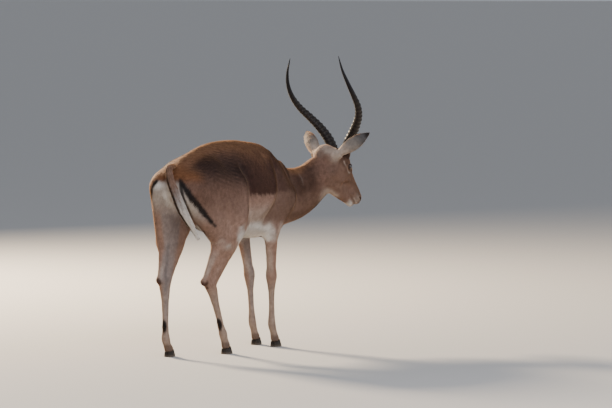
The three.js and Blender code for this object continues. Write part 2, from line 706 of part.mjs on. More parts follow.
takeOff("head", [[[1030, -92, 770], [0.94, -0.26, -0.06]]]);
takeOff("neck", [[[868, 0, 680], [0.96, -0.05, 0.22]]]);
nodes.tail = tail();
rest = rest.subtract(tail(GAP));
const LEGS = {
  hindleg_left: { side: 1, joint: 292, x: [-200, 262], top: [12, 566], slope: 1 },
  hindleg_right: { side: -1, joint: 288, x: [-200, 440], top: [12, 566], slope: 1 },
  foreleg_left: { side: 1, joint: 282, x: [618, 818], top: [32, 524], slope: 0.8 },
  foreleg_right: { side: -1, joint: 282, x: [606, 800], top: [32, 524], slope: 0.8 },
};
for (const [name, leg] of Object.entries(LEGS)) {
  const { side, joint, x, top, slope } = leg;
  takeOff(`${name}_lower`, [[[0, side * 4, 0], [0, side, 0]], [[x[0], 0, 0], [1, 0, 0]],
    [[x[1] + 60, 0, 0], [-1, 0, 0]], [[0, 0, joint], [0, 0, -1]]]);
  takeOff(`${name}_upper`, [[[0, side * top[0], 0], [0, side, 0]], [[x[0], 0, 0], [1, 0, 0]],
    [[x[1], 0, 0], [-1, 0, 0]], [[0, side * top[0], top[1]], [0, side * slope, -1]]]);
}
nodes.trunk = rest;

for (const [name, s] of [["left", 1], ["right", -1]]) {
  const { root, points } = EARS[name];
  const ball = beyond([[root.toArray(), points.toArray()]], GAP).intersect(
    toManifold(new THREE.SphereGeometry(48, 12, 8).translate(...root.toArray())),
  );
  nodes.head = nodes.head.subtract(horn(s, GAP, 0, 0.3)).subtract(eyeball(s, GAP)).subtract(ball);
  nodes[`eye_${name}`] = eyeball(s);
  nodes[`horn_${name}`] = horn(s);
  nodes[`ear_${name}`] = ear(EARS[name]);
}
const FEET = {
  foreleg_left: [foreLeft.coronet, 0.05],
  foreleg_right: [foreRight.coronet, -0.05],
  hindleg_left: [hindLeft.coronet, 0.06],
  hindleg_right: [hindRight.coronet, -0.06],
};
for (const [name, [coronet, turn]] of Object.entries(FEET))
  for (const [place, side] of [["left", 1], ["right", -1]])
    nodes[`hoof_${name.replace("leg", "")}_claw_${place}`] = claw(coronet, side, turn);

// ---------------------------------------------------------------- scene graph
const COATS = {
  horn: [0x2f2a26, 0.55],
  hoof: [0x26221f, 0.5],
  eye: [0x140d09, 0.08],
  ear: [0xc9a988, 0.9],
  tail: [0xd8cdbd, 0.95],
};
const FUR = [0xa9754c, 0.92];

// The group is moved so that its origin lies on the ground under the middle of its bounding box.
const boxes = Object.values(nodes).map((solid) => solid.boundingBox());
const middleOf = (axis) =>
  (Math.min(...boxes.map((b) => b.min[axis])) + Math.max(...boxes.map((b) => b.max[axis]))) / 2;

const group = new THREE.Group();
group.name = "impala";
group.position.set(-middleOf(0), -middleOf(1), 0);
for (const [name, solid] of Object.entries(nodes)) {
  const [color, roughness] = COATS[name.split("_")[0]] ?? FUR;
  const mesh = new THREE.Mesh(
    toGeometry(solid),
    new THREE.MeshStandardMaterial({ color, roughness, metalness: 0 }),
  );
  mesh.name = name;
  group.add(mesh);
}

export default group;
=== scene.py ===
import json
import math
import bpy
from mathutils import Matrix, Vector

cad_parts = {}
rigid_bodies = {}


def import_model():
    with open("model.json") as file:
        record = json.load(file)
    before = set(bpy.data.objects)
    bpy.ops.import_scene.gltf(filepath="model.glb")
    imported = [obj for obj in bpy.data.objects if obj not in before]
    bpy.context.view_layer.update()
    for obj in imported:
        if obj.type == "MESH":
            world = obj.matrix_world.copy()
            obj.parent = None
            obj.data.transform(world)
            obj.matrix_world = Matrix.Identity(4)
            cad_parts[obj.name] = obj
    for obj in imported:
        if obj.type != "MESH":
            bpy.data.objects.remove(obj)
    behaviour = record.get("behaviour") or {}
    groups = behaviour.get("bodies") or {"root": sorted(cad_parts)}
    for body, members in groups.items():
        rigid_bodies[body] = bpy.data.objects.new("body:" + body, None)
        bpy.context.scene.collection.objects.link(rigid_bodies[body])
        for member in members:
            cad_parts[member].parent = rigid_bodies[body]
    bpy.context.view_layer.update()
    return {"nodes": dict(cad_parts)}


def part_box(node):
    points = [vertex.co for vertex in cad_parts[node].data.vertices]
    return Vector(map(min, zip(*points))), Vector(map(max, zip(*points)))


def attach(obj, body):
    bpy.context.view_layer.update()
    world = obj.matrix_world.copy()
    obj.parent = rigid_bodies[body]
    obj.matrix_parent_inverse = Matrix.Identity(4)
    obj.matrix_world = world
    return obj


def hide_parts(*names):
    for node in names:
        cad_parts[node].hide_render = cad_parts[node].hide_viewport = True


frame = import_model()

from types import SimpleNamespace

import bmesh
import bpy
import numpy as np
from mathutils import Matrix, Vector
from mathutils.kdtree import KDTree

scene = bpy.context.scene

# ---------------------------------------------------------------- camera
# The camera stands far behind the animal and to its right and looks at it through a long lens, a
# little from above. It is placed from the point on the ground under the root of the tail.
TAIL_FOOT = np.array((-0.62376, 0.08579, 0.0))
CAMERA_AZIMUTH = math.radians(32.0)  # of the line of sight, from the animal's front towards its left
CAMERA_DROP = math.radians(5.0)
CAMERA_DISTANCE = 18.0
PIXELS_PER_METRE = 236.0
IMAGE_WIDTH, IMAGE_HEIGHT = 612, 408
FOOT_PIXEL = (171.0, 358.7)  # where that point shows
SENSOR_WIDTH = 36.0

sight = Vector((math.cos(CAMERA_AZIMUTH) * math.cos(CAMERA_DROP),
                math.sin(CAMERA_AZIMUTH) * math.cos(CAMERA_DROP), -math.sin(CAMERA_DROP)))
across = Vector((math.sin(CAMERA_AZIMUTH), -math.cos(CAMERA_AZIMUTH), 0.0))
focal = PIXELS_PER_METRE * CAMERA_DISTANCE
aim = (sight * focal + across * (IMAGE_WIDTH / 2 - FOOT_PIXEL[0])
       + across.cross(sight) * (FOOT_PIXEL[1] - IMAGE_HEIGHT / 2)).normalized()
right = aim.cross(Vector((0, 0, 1))).normalized()

bpy.ops.object.camera_add()
camera = bpy.context.object
camera.data.sensor_width = SENSOR_WIDTH
camera.data.lens = SENSOR_WIDTH * focal / IMAGE_WIDTH
camera.data.clip_end = 1000.0
camera.matrix_world = Matrix((right, right.cross(aim), -aim)).transposed().to_4x4()
camera.location = Vector(TAIL_FOOT) - sight * CAMERA_DISTANCE
scene.camera = camera

# ---------------------------------------------------------------- floor and light
# A pale matt studio floor under an even sky of soft light. A warm lamp low behind the animal's left
# edges its back and rump, and a broad white one lights the side that is seen.
FLOOR_SIZE, FLOOR_COLOUR = 900.0, (0.48, 0.465, 0.45, 1)
LAMP_AIM = Vector((0, 0, 0.6))
LAMPS = {  # place, size, watts, colour
    "key_lamp": ((-5.5, -5.0, 4.0), 3.5, 385, (0.98, 0.97, 1.0)),
    "fill_lamp": ((3.0, -6.0, 3.0), 4.0, 140, (0.92, 0.96, 1.0)),
    "rim_lamp": ((2.4, 6.2, 3.7), 1.2, 2100, (1.0, 0.80, 0.56)),
}
SKY_COLOUR, SKY_STRENGTH = (0.84, 0.90, 1.0, 1), 0.50


def bumped(tree, shader, height, strength, distance):
    """Dents the surface under the shader by a field's height, at most distance metres deep."""
    bump = add_node(tree, "ShaderNodeBump", Height=height, Strength=strength, Distance=distance)
    tree.links.new(bump.outputs[0], shader.inputs["Normal"])


def noise(tree, place, scale, detail=2.0):
    """A cloudy field over a piece's own place."""
    return add_node(tree, "ShaderNodeTexNoise", Vector=place.outputs["Object"], Scale=scale, Detail=detail)


def new_material(name, **values):
    """A node material with one Principled shader; returns it, its nodes' tree and the shader."""
    material = bpy.data.materials.new(name)
    material.use_nodes = True
    tree = material.node_tree
    shader = tree.nodes["Principled BSDF"]
    for key, value in values.items():
        shader.inputs[key.replace("_", " ")].default_value = value
    return material, tree, shader


def add_node(tree, kind, settings=(), **links):
    """Adds a node; each link is a socket to join or a value to set, by the input's name."""
    node = tree.nodes.new(kind)
    for key, value in dict(settings).items():
        setattr(node, key, value)
    for key, value in links.items():
        name = int(key[1:]) if key[1:].isdigit() else key.replace("_", " ")
        socket = node.inputs[name]
        if isinstance(value, bpy.types.NodeSocket):
            tree.links.new(value, socket)
        else:
            socket.default_value = value
    return node


bpy.ops.mesh.primitive_plane_add(size=FLOOR_SIZE)
floor = bpy.context.object
floor.name = "floor"
floor_material, floor_tree, floor_shader = new_material(
    "studio_floor", Base_Color=FLOOR_COLOUR, Roughness=0.85)
place = add_node(floor_tree, "ShaderNodeTexCoord")
speckle = noise(floor_tree, place, 60.0)
bumped(floor_tree, floor_shader, speckle.outputs[0], 0.05, 0.002)
floor.data.materials.append(floor_material)

for lamp_name, (spot, size, watts, colour) in LAMPS.items():
    bpy.ops.object.light_add(type="AREA", location=spot)
    lamp = bpy.context.object
    lamp.name = lamp_name
    lamp.data.size = size
    lamp.data.energy = watts
    lamp.data.color = colour
    lamp.rotation_euler = (LAMP_AIM - Vector(spot)).to_track_quat("-Z", "Y").to_euler()

world = bpy.data.worlds.new("studio")
world.use_nodes = True
world.node_tree.nodes["Background"].inputs["Color"].default_value = SKY_COLOUR
world.node_tree.nodes["Background"].inputs["Strength"].default_value = SKY_STRENGTH
scene.world = world

# ---------------------------------------------------------------- skin
# One hide over trunk, neck, head and legs, made from copies of their solids. They are closed over
# their cuts, smoothed, cut finer on the head and pressed in by the coat's depth, and then folds,
# tendons, nostrils and mouth are raised and sunk along lines, as with a modelling tool.
HEAD_SCALE = 1.17
HEAD_TURNS = ((-9, "Z"), (43.5, "Y"), (-4, "X"))  # degrees, and the axis turned about
POLL = (1096, -132, 876)  # top of the head, between the ears
SKIN_VOXEL = 0.0056
CUT_OVERLAP = 0.0006
COAT_DEPTH = 0.0026  # on the trunk; less on the head, and least on the feet
FEET = {foot: [f"hoof_{foot}_claw_{side}" for side in ("left", "right")]
        for foot in ("fore_left", "fore_right", "hind_left", "hind_right")}
HEEL_DROP = 0.013  # how far the hair line falls from the toe to the heel
RIM_RISE, RIM_FADE = (0.008, 0.034), (0.040, 0.090)  # heights between which that comes in and fades
HOOF_MARGIN = 0.03
LEGS = ("foreleg_left", "foreleg_right", "hindleg_left", "hindleg_right")
FLESH = ("trunk", "neck", "head") + tuple(f"{leg}_{half}" for leg in LEGS for half in ("upper", "lower"))


def at(points):
    """Places in millimetres from the tail's foot, as metres in the frame."""
    return np.atleast_2d(points) / 1000 + TAIL_FOOT


def in_body(points):
    """The other way round: places in the frame, in millimetres from the tail's foot."""
    return (points - TAIL_FOOT) * 1000


poll = at(POLL)[0]
turns = [Matrix.Rotation(math.radians(degrees), 3, axis) for degrees, axis in HEAD_TURNS]
head_axes = np.array(turns[0] @ turns[1] @ turns[2])


def on_head(points):
    """Places in the head's own axes (to the nose, to its left, out of the brow), in the frame."""
    return np.atleast_2d(points) * HEAD_SCALE / 1000 @ head_axes.T + poll


def in_head(points):
    """The other way round, in the head's axes."""
    return (points - poll) @ head_axes * 1000 / HEAD_SCALE


def smooth(low, high, value):
    """Rises smoothly from 0 at low to 1 at high."""
    t = np.clip((value - low) / (high - low), 0, 1)
    return t * t * (3 - 2 * t)


def fade(low, high, value):
    """The other way: falls from 1 at low to 0 at high."""
    return 1 - smooth(low, high, value)


def unit(vector):
    return np.array(vector) / np.linalg.norm(vector)


def array_of(items, key, width, kind=float):
    """One value of each item, such as its place, as the rows of an array."""
    flat = np.empty(len(items) * width, kind)
    items.foreach_get(key, flat)
    return flat.reshape(-1, width)


def points_of(piece):
    return array_of(piece.data.vertices, "co", 3)


def normals_of(piece):
    return array_of(piece.data.vertex_normals, "vector", 3)


def set_points(piece, points):
    piece.data.vertices.foreach_set("co", points.ravel())
    piece.data.update()


def averaged(piece, field, share, rounds, back=0.0):
    """Moves each point's value by share towards its neighbours' mean, and by back away again."""
    a, b = array_of(piece.data.edges, "vertices", 2, int).T
    ends, others = np.r_[a, b], np.r_[b, a]
    count = np.bincount(ends, minlength=len(field))[:, None]
    for _ in range(rounds):
        for amount in (share, -back)[:2 if back else 1]:
            mean = np.stack([np.bincount(ends, column[others], len(field)) for column in field.T], 1)
            field = field + amount * (mean / count - field)
    return field


def relax(piece, share, rounds, back=0.0):
    set_points(piece, averaged(piece, points_of(piece), share, rounds, back))


def refined(name, nodes, voxel):
    """One closed, evenly meshed piece from copies of CAD nodes, swollen a little so that they join."""
    joined = bmesh.new()
    for node_name in nodes:
        solid = bmesh.new()
        solid.from_mesh(frame["nodes"][node_name].data)
        bmesh.ops.remove_doubles(solid, verts=solid.verts, dist=1e-5)
        solid.normal_update()
        for corner in solid.verts:
            corner.co += corner.normal * CUT_OVERLAP
        copied = bpy.data.meshes.new(node_name + "_copy")
        solid.to_mesh(copied)
        solid.free()
        joined.from_mesh(copied)
        bpy.data.meshes.remove(copied)
    mesh = bpy.data.meshes.new(name)
    joined.to_mesh(mesh)
    joined.free()
    piece = bpy.data.objects.new(name, mesh)
    scene.collection.objects.link(piece)
    bpy.ops.object.select_all(action="DESELECT")
    bpy.context.view_layer.objects.active = piece
    piece.select_set(True)
    mesh.remesh_voxel_size = voxel
    bpy.ops.object.voxel_remesh()
    mesh.shade_smooth()
    return piece


def sloped(points):
    """Draws the upper rim of each hoof, and the skin over it, down towards the heel."""
    points = points.copy()
    for claws in FEET.values():
        corners = np.array([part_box(claw) for claw in claws]).reshape(-1, 3)
        low, high = corners.min(0), corners.max(0)
        flat = points[:, :2]
        near = np.all((flat > low[:2] - HOOF_MARGIN) & (flat < high[:2] + HOOF_MARGIN), axis=1)
        back = fade(low[0] + 0.004, high[0] - 0.006, points[:, 0])
        band = smooth(*RIM_RISE, points[:, 2]) * fade(*RIM_FADE, points[:, 2])
        points[:, 2] -= HEEL_DROP * back * band * near
    return points


def line_distance(points, line):
    """Distance of each point to the nearest place of a line through a few places."""
    best = np.full(len(points), np.inf)
    for a, b in zip(line[:-1], line[1:]):
        t = np.clip((points - a) @ (b - a) / ((b - a) @ (b - a)), 0, 1)
        best = np.minimum(best, np.linalg.norm(points - a - t[:, None] * (b - a), axis=1))
    return best


def raised(piece, gap, height, width):
    """Pushes points out by height metres where their gap is 0, and less and less to about width."""
    push = height * np.exp(-(gap / width) ** 2 / 2)
    set_points(piece, points_of(piece) + normals_of(piece) * push[:, None])


def folded(folds, placed, scale):
    """Raises or sinks the skin along each line, on both sides of the animal."""
    for line, width, height in folds:
        for side in (1, -1):
            gap = line_distance(points_of(skin), placed(np.array(line) * (1, side, 1)))
            raised(skin, gap * 1000, height * scale / 1000, width * scale)


# The facets of the solids are smoothed away, and what that takes off broad forms is given back.
skin = refined("skin", FLESH, SKIN_VOXEL)
local = in_body(points_of(skin))
on_body = smooth(480, 600, local[:, 2]) * fade(980, 1060, local[:, 0])
share = (0.06 + 0.5 * on_body)[:, None]
facets = points_of(skin)
relax(skin, share, 16)
lost = facets - points_of(skin)
for _ in range(2):
    lost = averaged(skin, lost, 0.5, 20)
set_points(skin, points_of(skin) + lost)
relax(skin, 0.5, 3, 0.52)

# The head is cut finer.
finer = bmesh.new()
finer.from_mesh(skin.data)
centres = in_head(np.array([face.calc_center_median()[:] for face in finer.faces]))
on_skull = np.all((centres > (-15, -75, -150)) & (centres < (330, 75, 60)), axis=1)
edges = {edge for face, inside in zip(finer.faces, on_skull) if inside for edge in face.edges}
bmesh.ops.subdivide_edges(finer, edges=list(edges), cuts=1, use_grid_fill=True)
bmesh.ops.triangulate(finer, faces=[face for face in finer.faces if len(face.verts) > 4])
finer.to_mesh(skin.data)
finer.free()
on_skull = smooth(-30, 10, in_head(points_of(skin))[:, 0])[:, None]
relax(skin, 0.5 * on_skull, 3)

local = in_body(points_of(skin))
thin_coat = 0.45 + 0.55 * smooth(300, 620, local[:, 2]) * fade(1000, 1090, local[:, 0])
thin_coat *= smooth(36, 90, local[:, 2])
set_points(skin, points_of(skin) - normals_of(skin) * (COAT_DEPTH * thin_coat)[:, None])

# Each fold: its line, how wide it is and how far it stands up (or sinks, below zero), in millimetres.
NECK_CREASES = [[(850, -40, 800), (852, -85, 735), (838, -118, 660), (800, -130, 600)],
                [(905, -75, 790), (912, -112, 720), (902, -128, 650), (875, -112, 580)]]
MOUTH = [(272, 0, -66), (258, 14, -69), (225, 21, -71), (195, 22, -70)]
NOSTRIL = [(282, 7, -46), (279, 12, -38), (272, 17, -33), (263, 20, -36)]
BODY_FOLDS = [
    ([(368, -113, 797), (398, -130, 745), (406, -140, 681), (400, -140, 616), (352, -146, 560)], 11, 4),
    ([(396, -113, 797), (428, -130, 745), (440, -140, 681), (436, -140, 616), (400, -140, 556)], 15, -7),
    ([(652, -85, 820), (656, -110, 760), (648, -130, 690), (596, -142, 640), (530, -136, 596)], 13, 4),
    ([(706, -80, 820), (716, -105, 760), (708, -120, 690), (664, -132, 628), (590, -134, 572)], 20, -11),
    (NECK_CREASES[0], 9, 4),
    ([(876, -60, 795), (882, -100, 725), (870, -122, 650), (838, -118, 585)], 8, -4),
    (NECK_CREASES[1], 9, 3.5),
    ([(940, -85, 800), (948, -125, 722), (940, -138, 650)], 9, -3),
    ([(972, -100, 800), (982, -135, 730), (976, -148, 665)], 9, 2),
    ([(150, 8, 870), (300, 8, 905), (570, 8, 905), (720, 8, 880)], 16, 2),
    ([(20, 62, 318), (40, 66, 250), (46, 66, 140)], 4, 1.2),
    ([(60, 62, 318), (72, 66, 250), (72, 66, 140)], 5, -1.0),
]
HEAD_FOLDS = [
    ([(75, 50, 8), (100, 52, 10), (135, 44, 2)], 7, 3),  # brow over the eye
    ([(90, 45, -52), (130, 42, -48), (170, 34, -52)], 8, 2.5),  # cheek bone
    ([(140, 46, -30), (165, 38, -36)], 5, -2.5),  # tear pit before the eye
    (NOSTRIL, 2.6, -6.5),
    ([(284, 7, -36), (276, 14, -26), (264, 19, -26), (252, 22, -34)], 4.5, 2.6),  # wing over it
    ([(280, 13, -50), (270, 19, -45), (260, 21, -45)], 4, 2.0),  # rim under it
    ([(287, 0, -44), (284, 0, -54), (276, 0, -62), (268, 0, -66)], 2.2, -2.5),  # groove of the upper lip
    (MOUTH, 2.6, -5),
    ([(262, 0, -75), (250, 11, -75), (225, 17, -77), (205, 20, -77)], 4, 1.4),  # lower lip
    ([(268, 6, -58), (250, 17, -60), (225, 22, -61)], 5, 1.2),  # upper lip
    ([(255, 0, -84), (240, 12, -82)], 6, 1.5),  # chin
    ([(185, 30, -78), (150, 36, -86)], 9, -1.5),  # hollow before the cheek
]
folded(BODY_FOLDS, at, 1)
folded(HEAD_FOLDS, on_head, HEAD_SCALE)
EAR_ROOTS = {"ear_left": (33, 60, -18), "ear_right": (18, -60, -30)}
EAR_SWELLING, SWELLING_WIDTH = 0.007, 17
for root in EAR_ROOTS.values():
    gap = np.linalg.norm(points_of(skin) - on_head(root)[0], axis=1)
    raised(skin, gap * 1000, EAR_SWELLING, SWELLING_WIDTH)

EYE_AT, EYE_RADIUS = (112, 40, -15), 0.017
EYE_LOOK = np.array((0.24, 0.96, 0.12)) / math.sqrt(0.24 ** 2 + 0.96 ** 2 + 0.12 ** 2)
SOCKET, SOCKET_REACH = 0.0160, 0.036  # the skin is drawn in to this radius under the lids
SOCKET_EDGE = math.cos(math.radians(80)), math.cos(math.radians(56))
EYES = {}  # name: centre, the way it looks
for name, side in (("eye_left", 1), ("eye_right", -1)):
    centre = on_head(np.array(EYE_AT) * (1, side, 1))[0]
    look = head_axes @ (EYE_LOOK * (1, side, 1))
    EYES[name] = (centre, look)
    out = points_of(skin) - centre
    gap = np.linalg.norm(out, axis=1)
    facing = smooth(*SOCKET_EDGE, out @ look / gap) * (gap < SOCKET_REACH)
    moved = centre + out / gap[:, None] * (gap + (SOCKET - gap) * facing)[:, None]
    set_points(skin, moved)
set_points(skin, sloped(points_of(skin)))

# ---------------------------------------------------------------- markings
# Skin and coat take the same colours from here: a dark red-brown saddle over a tan flank, a white
# belly, black stripes down the buttocks, white about eyes, lips, chin and throat, dark hocks. Each
# list gives layers of colour, laid over one another in turn, each with its share at every place.
SADDLE = np.array((0.046, 0.021, 0.016))
# red-brown: painted light from above where laid on upward-facing hair of back, crest and crown; the tail's
# root takes it as its colour
RIDGE_RED_AND_LIT = np.array((0.180, 0.088, 0.045))
RUST = np.array((0.190, 0.073, 0.026))
# dark saddle fur over the croup, deepened by painted shade of its hollow
CROUP_FUR_AND_SHADE = np.array((0.019, 0.010, 0.009))
TAN = np.array((0.262, 0.162, 0.122))
THIGH = np.array((0.150, 0.085, 0.063))
NECK = np.array((0.060, 0.031, 0.022))
THROAT = np.array((0.140, 0.082, 0.060))
CREAM = np.array((0.400, 0.325, 0.270))
GREY = np.array((0.200, 0.185, 0.185))
WHITE = np.array((0.660, 0.630, 0.590))
BLACK = np.array((0.016, 0.013, 0.013))
FACE = np.array((0.092, 0.051, 0.035))
BRIDGE = np.array((0.055, 0.029, 0.020))
# pale hair of the legs' insides, greyed by painted shade
SHADED_INNER_LEG = np.array((0.215, 0.185, 0.175))
# the pale rump's left side, darkened by painted shade
SHADED_LEFT_RUMP = np.array((0.330, 0.285, 0.250))
RIGHT_RUMP = CREAM + (WHITE - CREAM) * 0.45

# Lines on the body, in millimetres forward of the tail's foot, to the left of it and up.
BUTTOCK_STRIPE = [(-18, -62, 750), (-14, -86, 714), (7, -100, 679), (48, -106, 648), (98, -110, 608),
                  (143, -115, 574), (168, -118, 556)]
STRIPE_WIDTHS = (7, 12, 14, 14, 12, 8, 4)
# line of the painted shadow in the gap between the tail and the right buttock
CLEFT_SHADOW = [(-15, -54, 760), (-17, -57, 747), (-22, -66, 709), (-4, -69, 671), (39, -63, 635),
         (90, -50, 600), (150, -20, 575)]
CROUP_BAND = [(110, 0, 818), (240, 0, 808), (385, 0, 784)]
STIFLE_EDGE = [(368, -113, 797), (398, -130, 745), (408, -140, 681), (402, -140, 616), (356, -146, 562)]
BARREL_EDGE = [(668, -101, 800), (676, -127, 735), (668, -128, 680), (610, -138, 640), (552, -134, 600),
               (505, -117, 560)]
# line of painted shade down the hollow of the left hind leg
CALF_HOLLOW_SHADE = [(58, 49, 478), (52, 52, 406), (36, 51, 352), (36, 52, 290)]
HOCKS = (((2, 68, 322), 19), ((14, 66, 296), 12), ((160, -66, 312), 18), ((176, -66, 288), 13))
HEEL_BRUSHES = [[(44, 66, 162), (46, 66, 104)], [(262, -68, 162), (286, -70, 104)]]
BRUSH_WIDTH = 14
# Heights, and how far forward, or aside, something reaches at each of them.
LEFT_SHIN, RIGHT_SHIN = ((318, 566), (55, 184)), ((308, 572), (215, 372))
RUMP_FORWARD = (556, 574, 608, 648, 679, 714, 750), (168, 143, 98, 48, 7, -14, -18)
RUMP_ASIDE = (574, 648, 679, 714, 750), (113, 104, 98, 84, 60)

# Lines on the head, in its own axes.
EYE_BAND = [(72, 48, -24), (92, 52, -38), (118, 49, -38), (136, 45, -26)]
BROW_BAND = [(90, 43, 10), (112, 41, 12), (132, 38, 3)]
LIP_BAND = [(274, 7, -60), (258, 18, -63), (236, 23, -65)]
HORN_COLLAR = [(48, 46, 8), (72, 50, 2)]
TEAR_LINE = [(138, 44, -30), (160, 38, -38)]
NOSE_HEIGHT, NOSE_SIZE = -42, (12, 17)  # the bare pad: its middle, and half its width and height


def mixed(colour, other, share):
    return colour + (other - colour) * share[:, None]


def layered(colour, layers):
    """Lays other colours over one in turn, each with its share at every place."""
    for other, share in layers:
        colour = mixed(colour, other, share)
    return colour


def grain(points, size, seed):
    """A smooth random field from a few crossed waves, between about -1 and 1."""
    waves = np.random.default_rng(seed)
    total = np.zeros(len(points))
    for _ in range(7):
        total += np.sin(points @ waves.normal(0, 1 / size, 3) + waves.uniform(0, 6.28))
    return total / 3.2


def beside(points, line, width, soft, both=True):
    """1 within width of a line, 0 beyond soft more, on both sides of the body; all in millimetres."""
    line = np.array(line, float)
    gap = line_distance(points, line)
    if both:
        gap = np.minimum(gap, line_distance(points, line * (1, -1, 1)))
    return fade(width - soft / 2, width + soft / 2, gap)


def heel_brush(place, normals):
    """1 on the glands behind the hind pasterns, where a brush of black hair grows."""
    near = np.zeros(len(place))
    for top, bottom in np.array(HEEL_BRUSHES, float):
        middle, half = (top + bottom) / 2, np.linalg.norm(bottom - top) / 2
        run = (place - middle) @ (bottom - top) / (2 * half * half)
        off = np.linalg.norm(place - middle - run[:, None] * (bottom - top) / 2, axis=1) / BRUSH_WIDTH
        near = np.maximum(near, fade(0.6, 1.15, np.hypot(run, off)))
    return near * smooth(-0.2, 0.35, -normals[:, 0])


def marks_of(points, normals):
    """Where hair stands on the body, which way it faces, and how its colour wavers there."""
    place = in_body(points)
    x, y, z = place.T
    hind = fade(360 - 70 * (y > 0), 430 + 20 * (y > 0), x)
    upright = grain(points * (1, 1, 0.13), 0.0024, 9)
    level = grain((points @ np.array(Matrix.Rotation(0.3, 3, "Y"))) * (0.13, 1, 1), 0.0024, 10)
    return SimpleNamespace(
        place=place, x=x, y=y, z=z, hind=hind, up=normals[:, 2], back=-normals[:, 0],
        inward=-np.where(y > 0, 1.0, -1.0) * normals[:, 1],
        wave=grain(points, 0.030, 3), fine=grain(points, 0.009, 4), streak=upright + (level - upright) * hind,
        shoulder=smooth(-12, 22, x - 560 - (z - 562) * 0.72) * smooth(520, 580, z))


def flank_layers(m):
    """Brown thigh, flank that pales downwards, rust about the tail's root, dark shoulder."""
    low_flank = fade(575, 655, m.z) * smooth(385, 450, m.x) * fade(610, 690, m.x)
    dark_shoulder = mixed(THROAT, NECK, 0.1 * smooth(640, 690, m.z + 12 * m.streak))
    return [(THIGH * 0.94, m.hind * smooth(540, 700, m.z + 14 * m.wave)),
            (THIGH, 0.4 * smooth(630, 680, m.z) * (1 - m.hind)),
            (CREAM, 0.6 * low_flank),
            (RUST, 0.8 * fade(30, 120, m.x) * smooth(730, 775, m.z)),
            (dark_shoulder, m.shoulder)]


def saddle_layers(m):
    """The saddle, made redder and lighter by painted light where it faces up, and a nearly black band over
    the croup: dark fur with painted shade.
    """
    edge, soft = 680 + 7 * m.wave + 6 * m.streak + 74 * m.hind, 11 + 53 * m.hind
    saddle = smooth(edge - soft, edge + soft, m.z) * fade(900, 1040, m.x)
    saddle *= 0.35 + 0.65 * smooth(10, 130, m.x)
    saddle *= 1 - 0.28 * m.shoulder
    # painted light from above: the saddle's upward-facing hair made redder and lighter
    top = smooth(0.25, 0.95, m.up + 0.06 * m.wave + 0.05 * m.streak)
    # band of dark fur along the croup on each side of the spine, with painted shade of the hollow
    gap = line_distance(m.place * (1, 0, 1), np.array(CROUP_BAND, float))
    croup = np.exp(-((gap + 7 * m.streak) / 46) ** 2 / 2) * smooth(35, 75, np.abs(m.y))
    return [(SADDLE, saddle * (0.62 + 0.38 * smooth(330, 440, m.x))),
            (RIDGE_RED_AND_LIT, saddle * top * 0.8),
            (CROUP_FUR_AND_SHADE, 0.92 * croup)]


def neck_layers(m):
    """Dark sides, paler below, painted light making the upward-facing crest redder, and tan behind the ears.
    """
    neck = smooth(770, 870, m.x + 20 * m.wave + 6 * m.streak)
    low_neck = fade(610, 690, m.z - 0.25 * (m.x - 900))
    return [(mixed(NECK, THROAT, low_neck), neck * smooth(540, 600, m.z)),
            # painted light from above: the crest's upward-facing hair made redder and lighter
            (RIDGE_RED_AND_LIT, neck * smooth(0.45, 0.95, m.up) * fade(1010, 1080, m.x)),
            (THIGH * 1.25, 0.65 * smooth(945, 1020, m.x) * (1 - low_neck))]


def leg_layers(m):
    """White belly, insides of the legs greyed by painted shade, pale cannons and backs of the shanks, painted
    shade down the hollow of the left hind leg.
    """
    belly = smooth(0.10, 0.50, -m.up + 0.06 * m.wave) * smooth(200, 270, m.x) * fade(690, 760, m.x)
    inside = smooth(0.20, 0.70, m.inward) * fade(600, 660, m.z) * smooth(70, 200, m.z)
    shin = np.where(m.y > 0, np.interp(m.z, *LEFT_SHIN), np.interp(m.z, *RIGHT_SHIN))
    fore_edge = smooth(-14, 14, m.x - shin + 8 + 0.3 * (m.z - 404)) * smooth(320, 380, m.z) * (m.x < 450)
    heel_side = smooth(0.2, 0.7, m.back) * smooth(300, 360, m.z)
    hollow_shade = beside(m.place, CALF_HOLLOW_SHADE, 7, 14, both=False)
    return [(WHITE, belly * smooth(440, 490, m.z) * fade(540, 572, m.z)),
            # painted shade: inward-facing hair between the legs greyed
            (SHADED_INNER_LEG, 0.75 * inside * (1 - 0.85 * fore_edge)),
            (CREAM * 0.72, 0.6 * fade(230, 330, m.z) * (1 - 0.6 * inside)),
            (CREAM, 0.5 * heel_side * fade(400, 470, m.z + 40 * (m.y > 0))),
            # painted shade in the hollow of the left hind leg
            (GREY * 0.5, 0.55 * hollow_shade * smooth(0.0, 0.5, m.inward))]


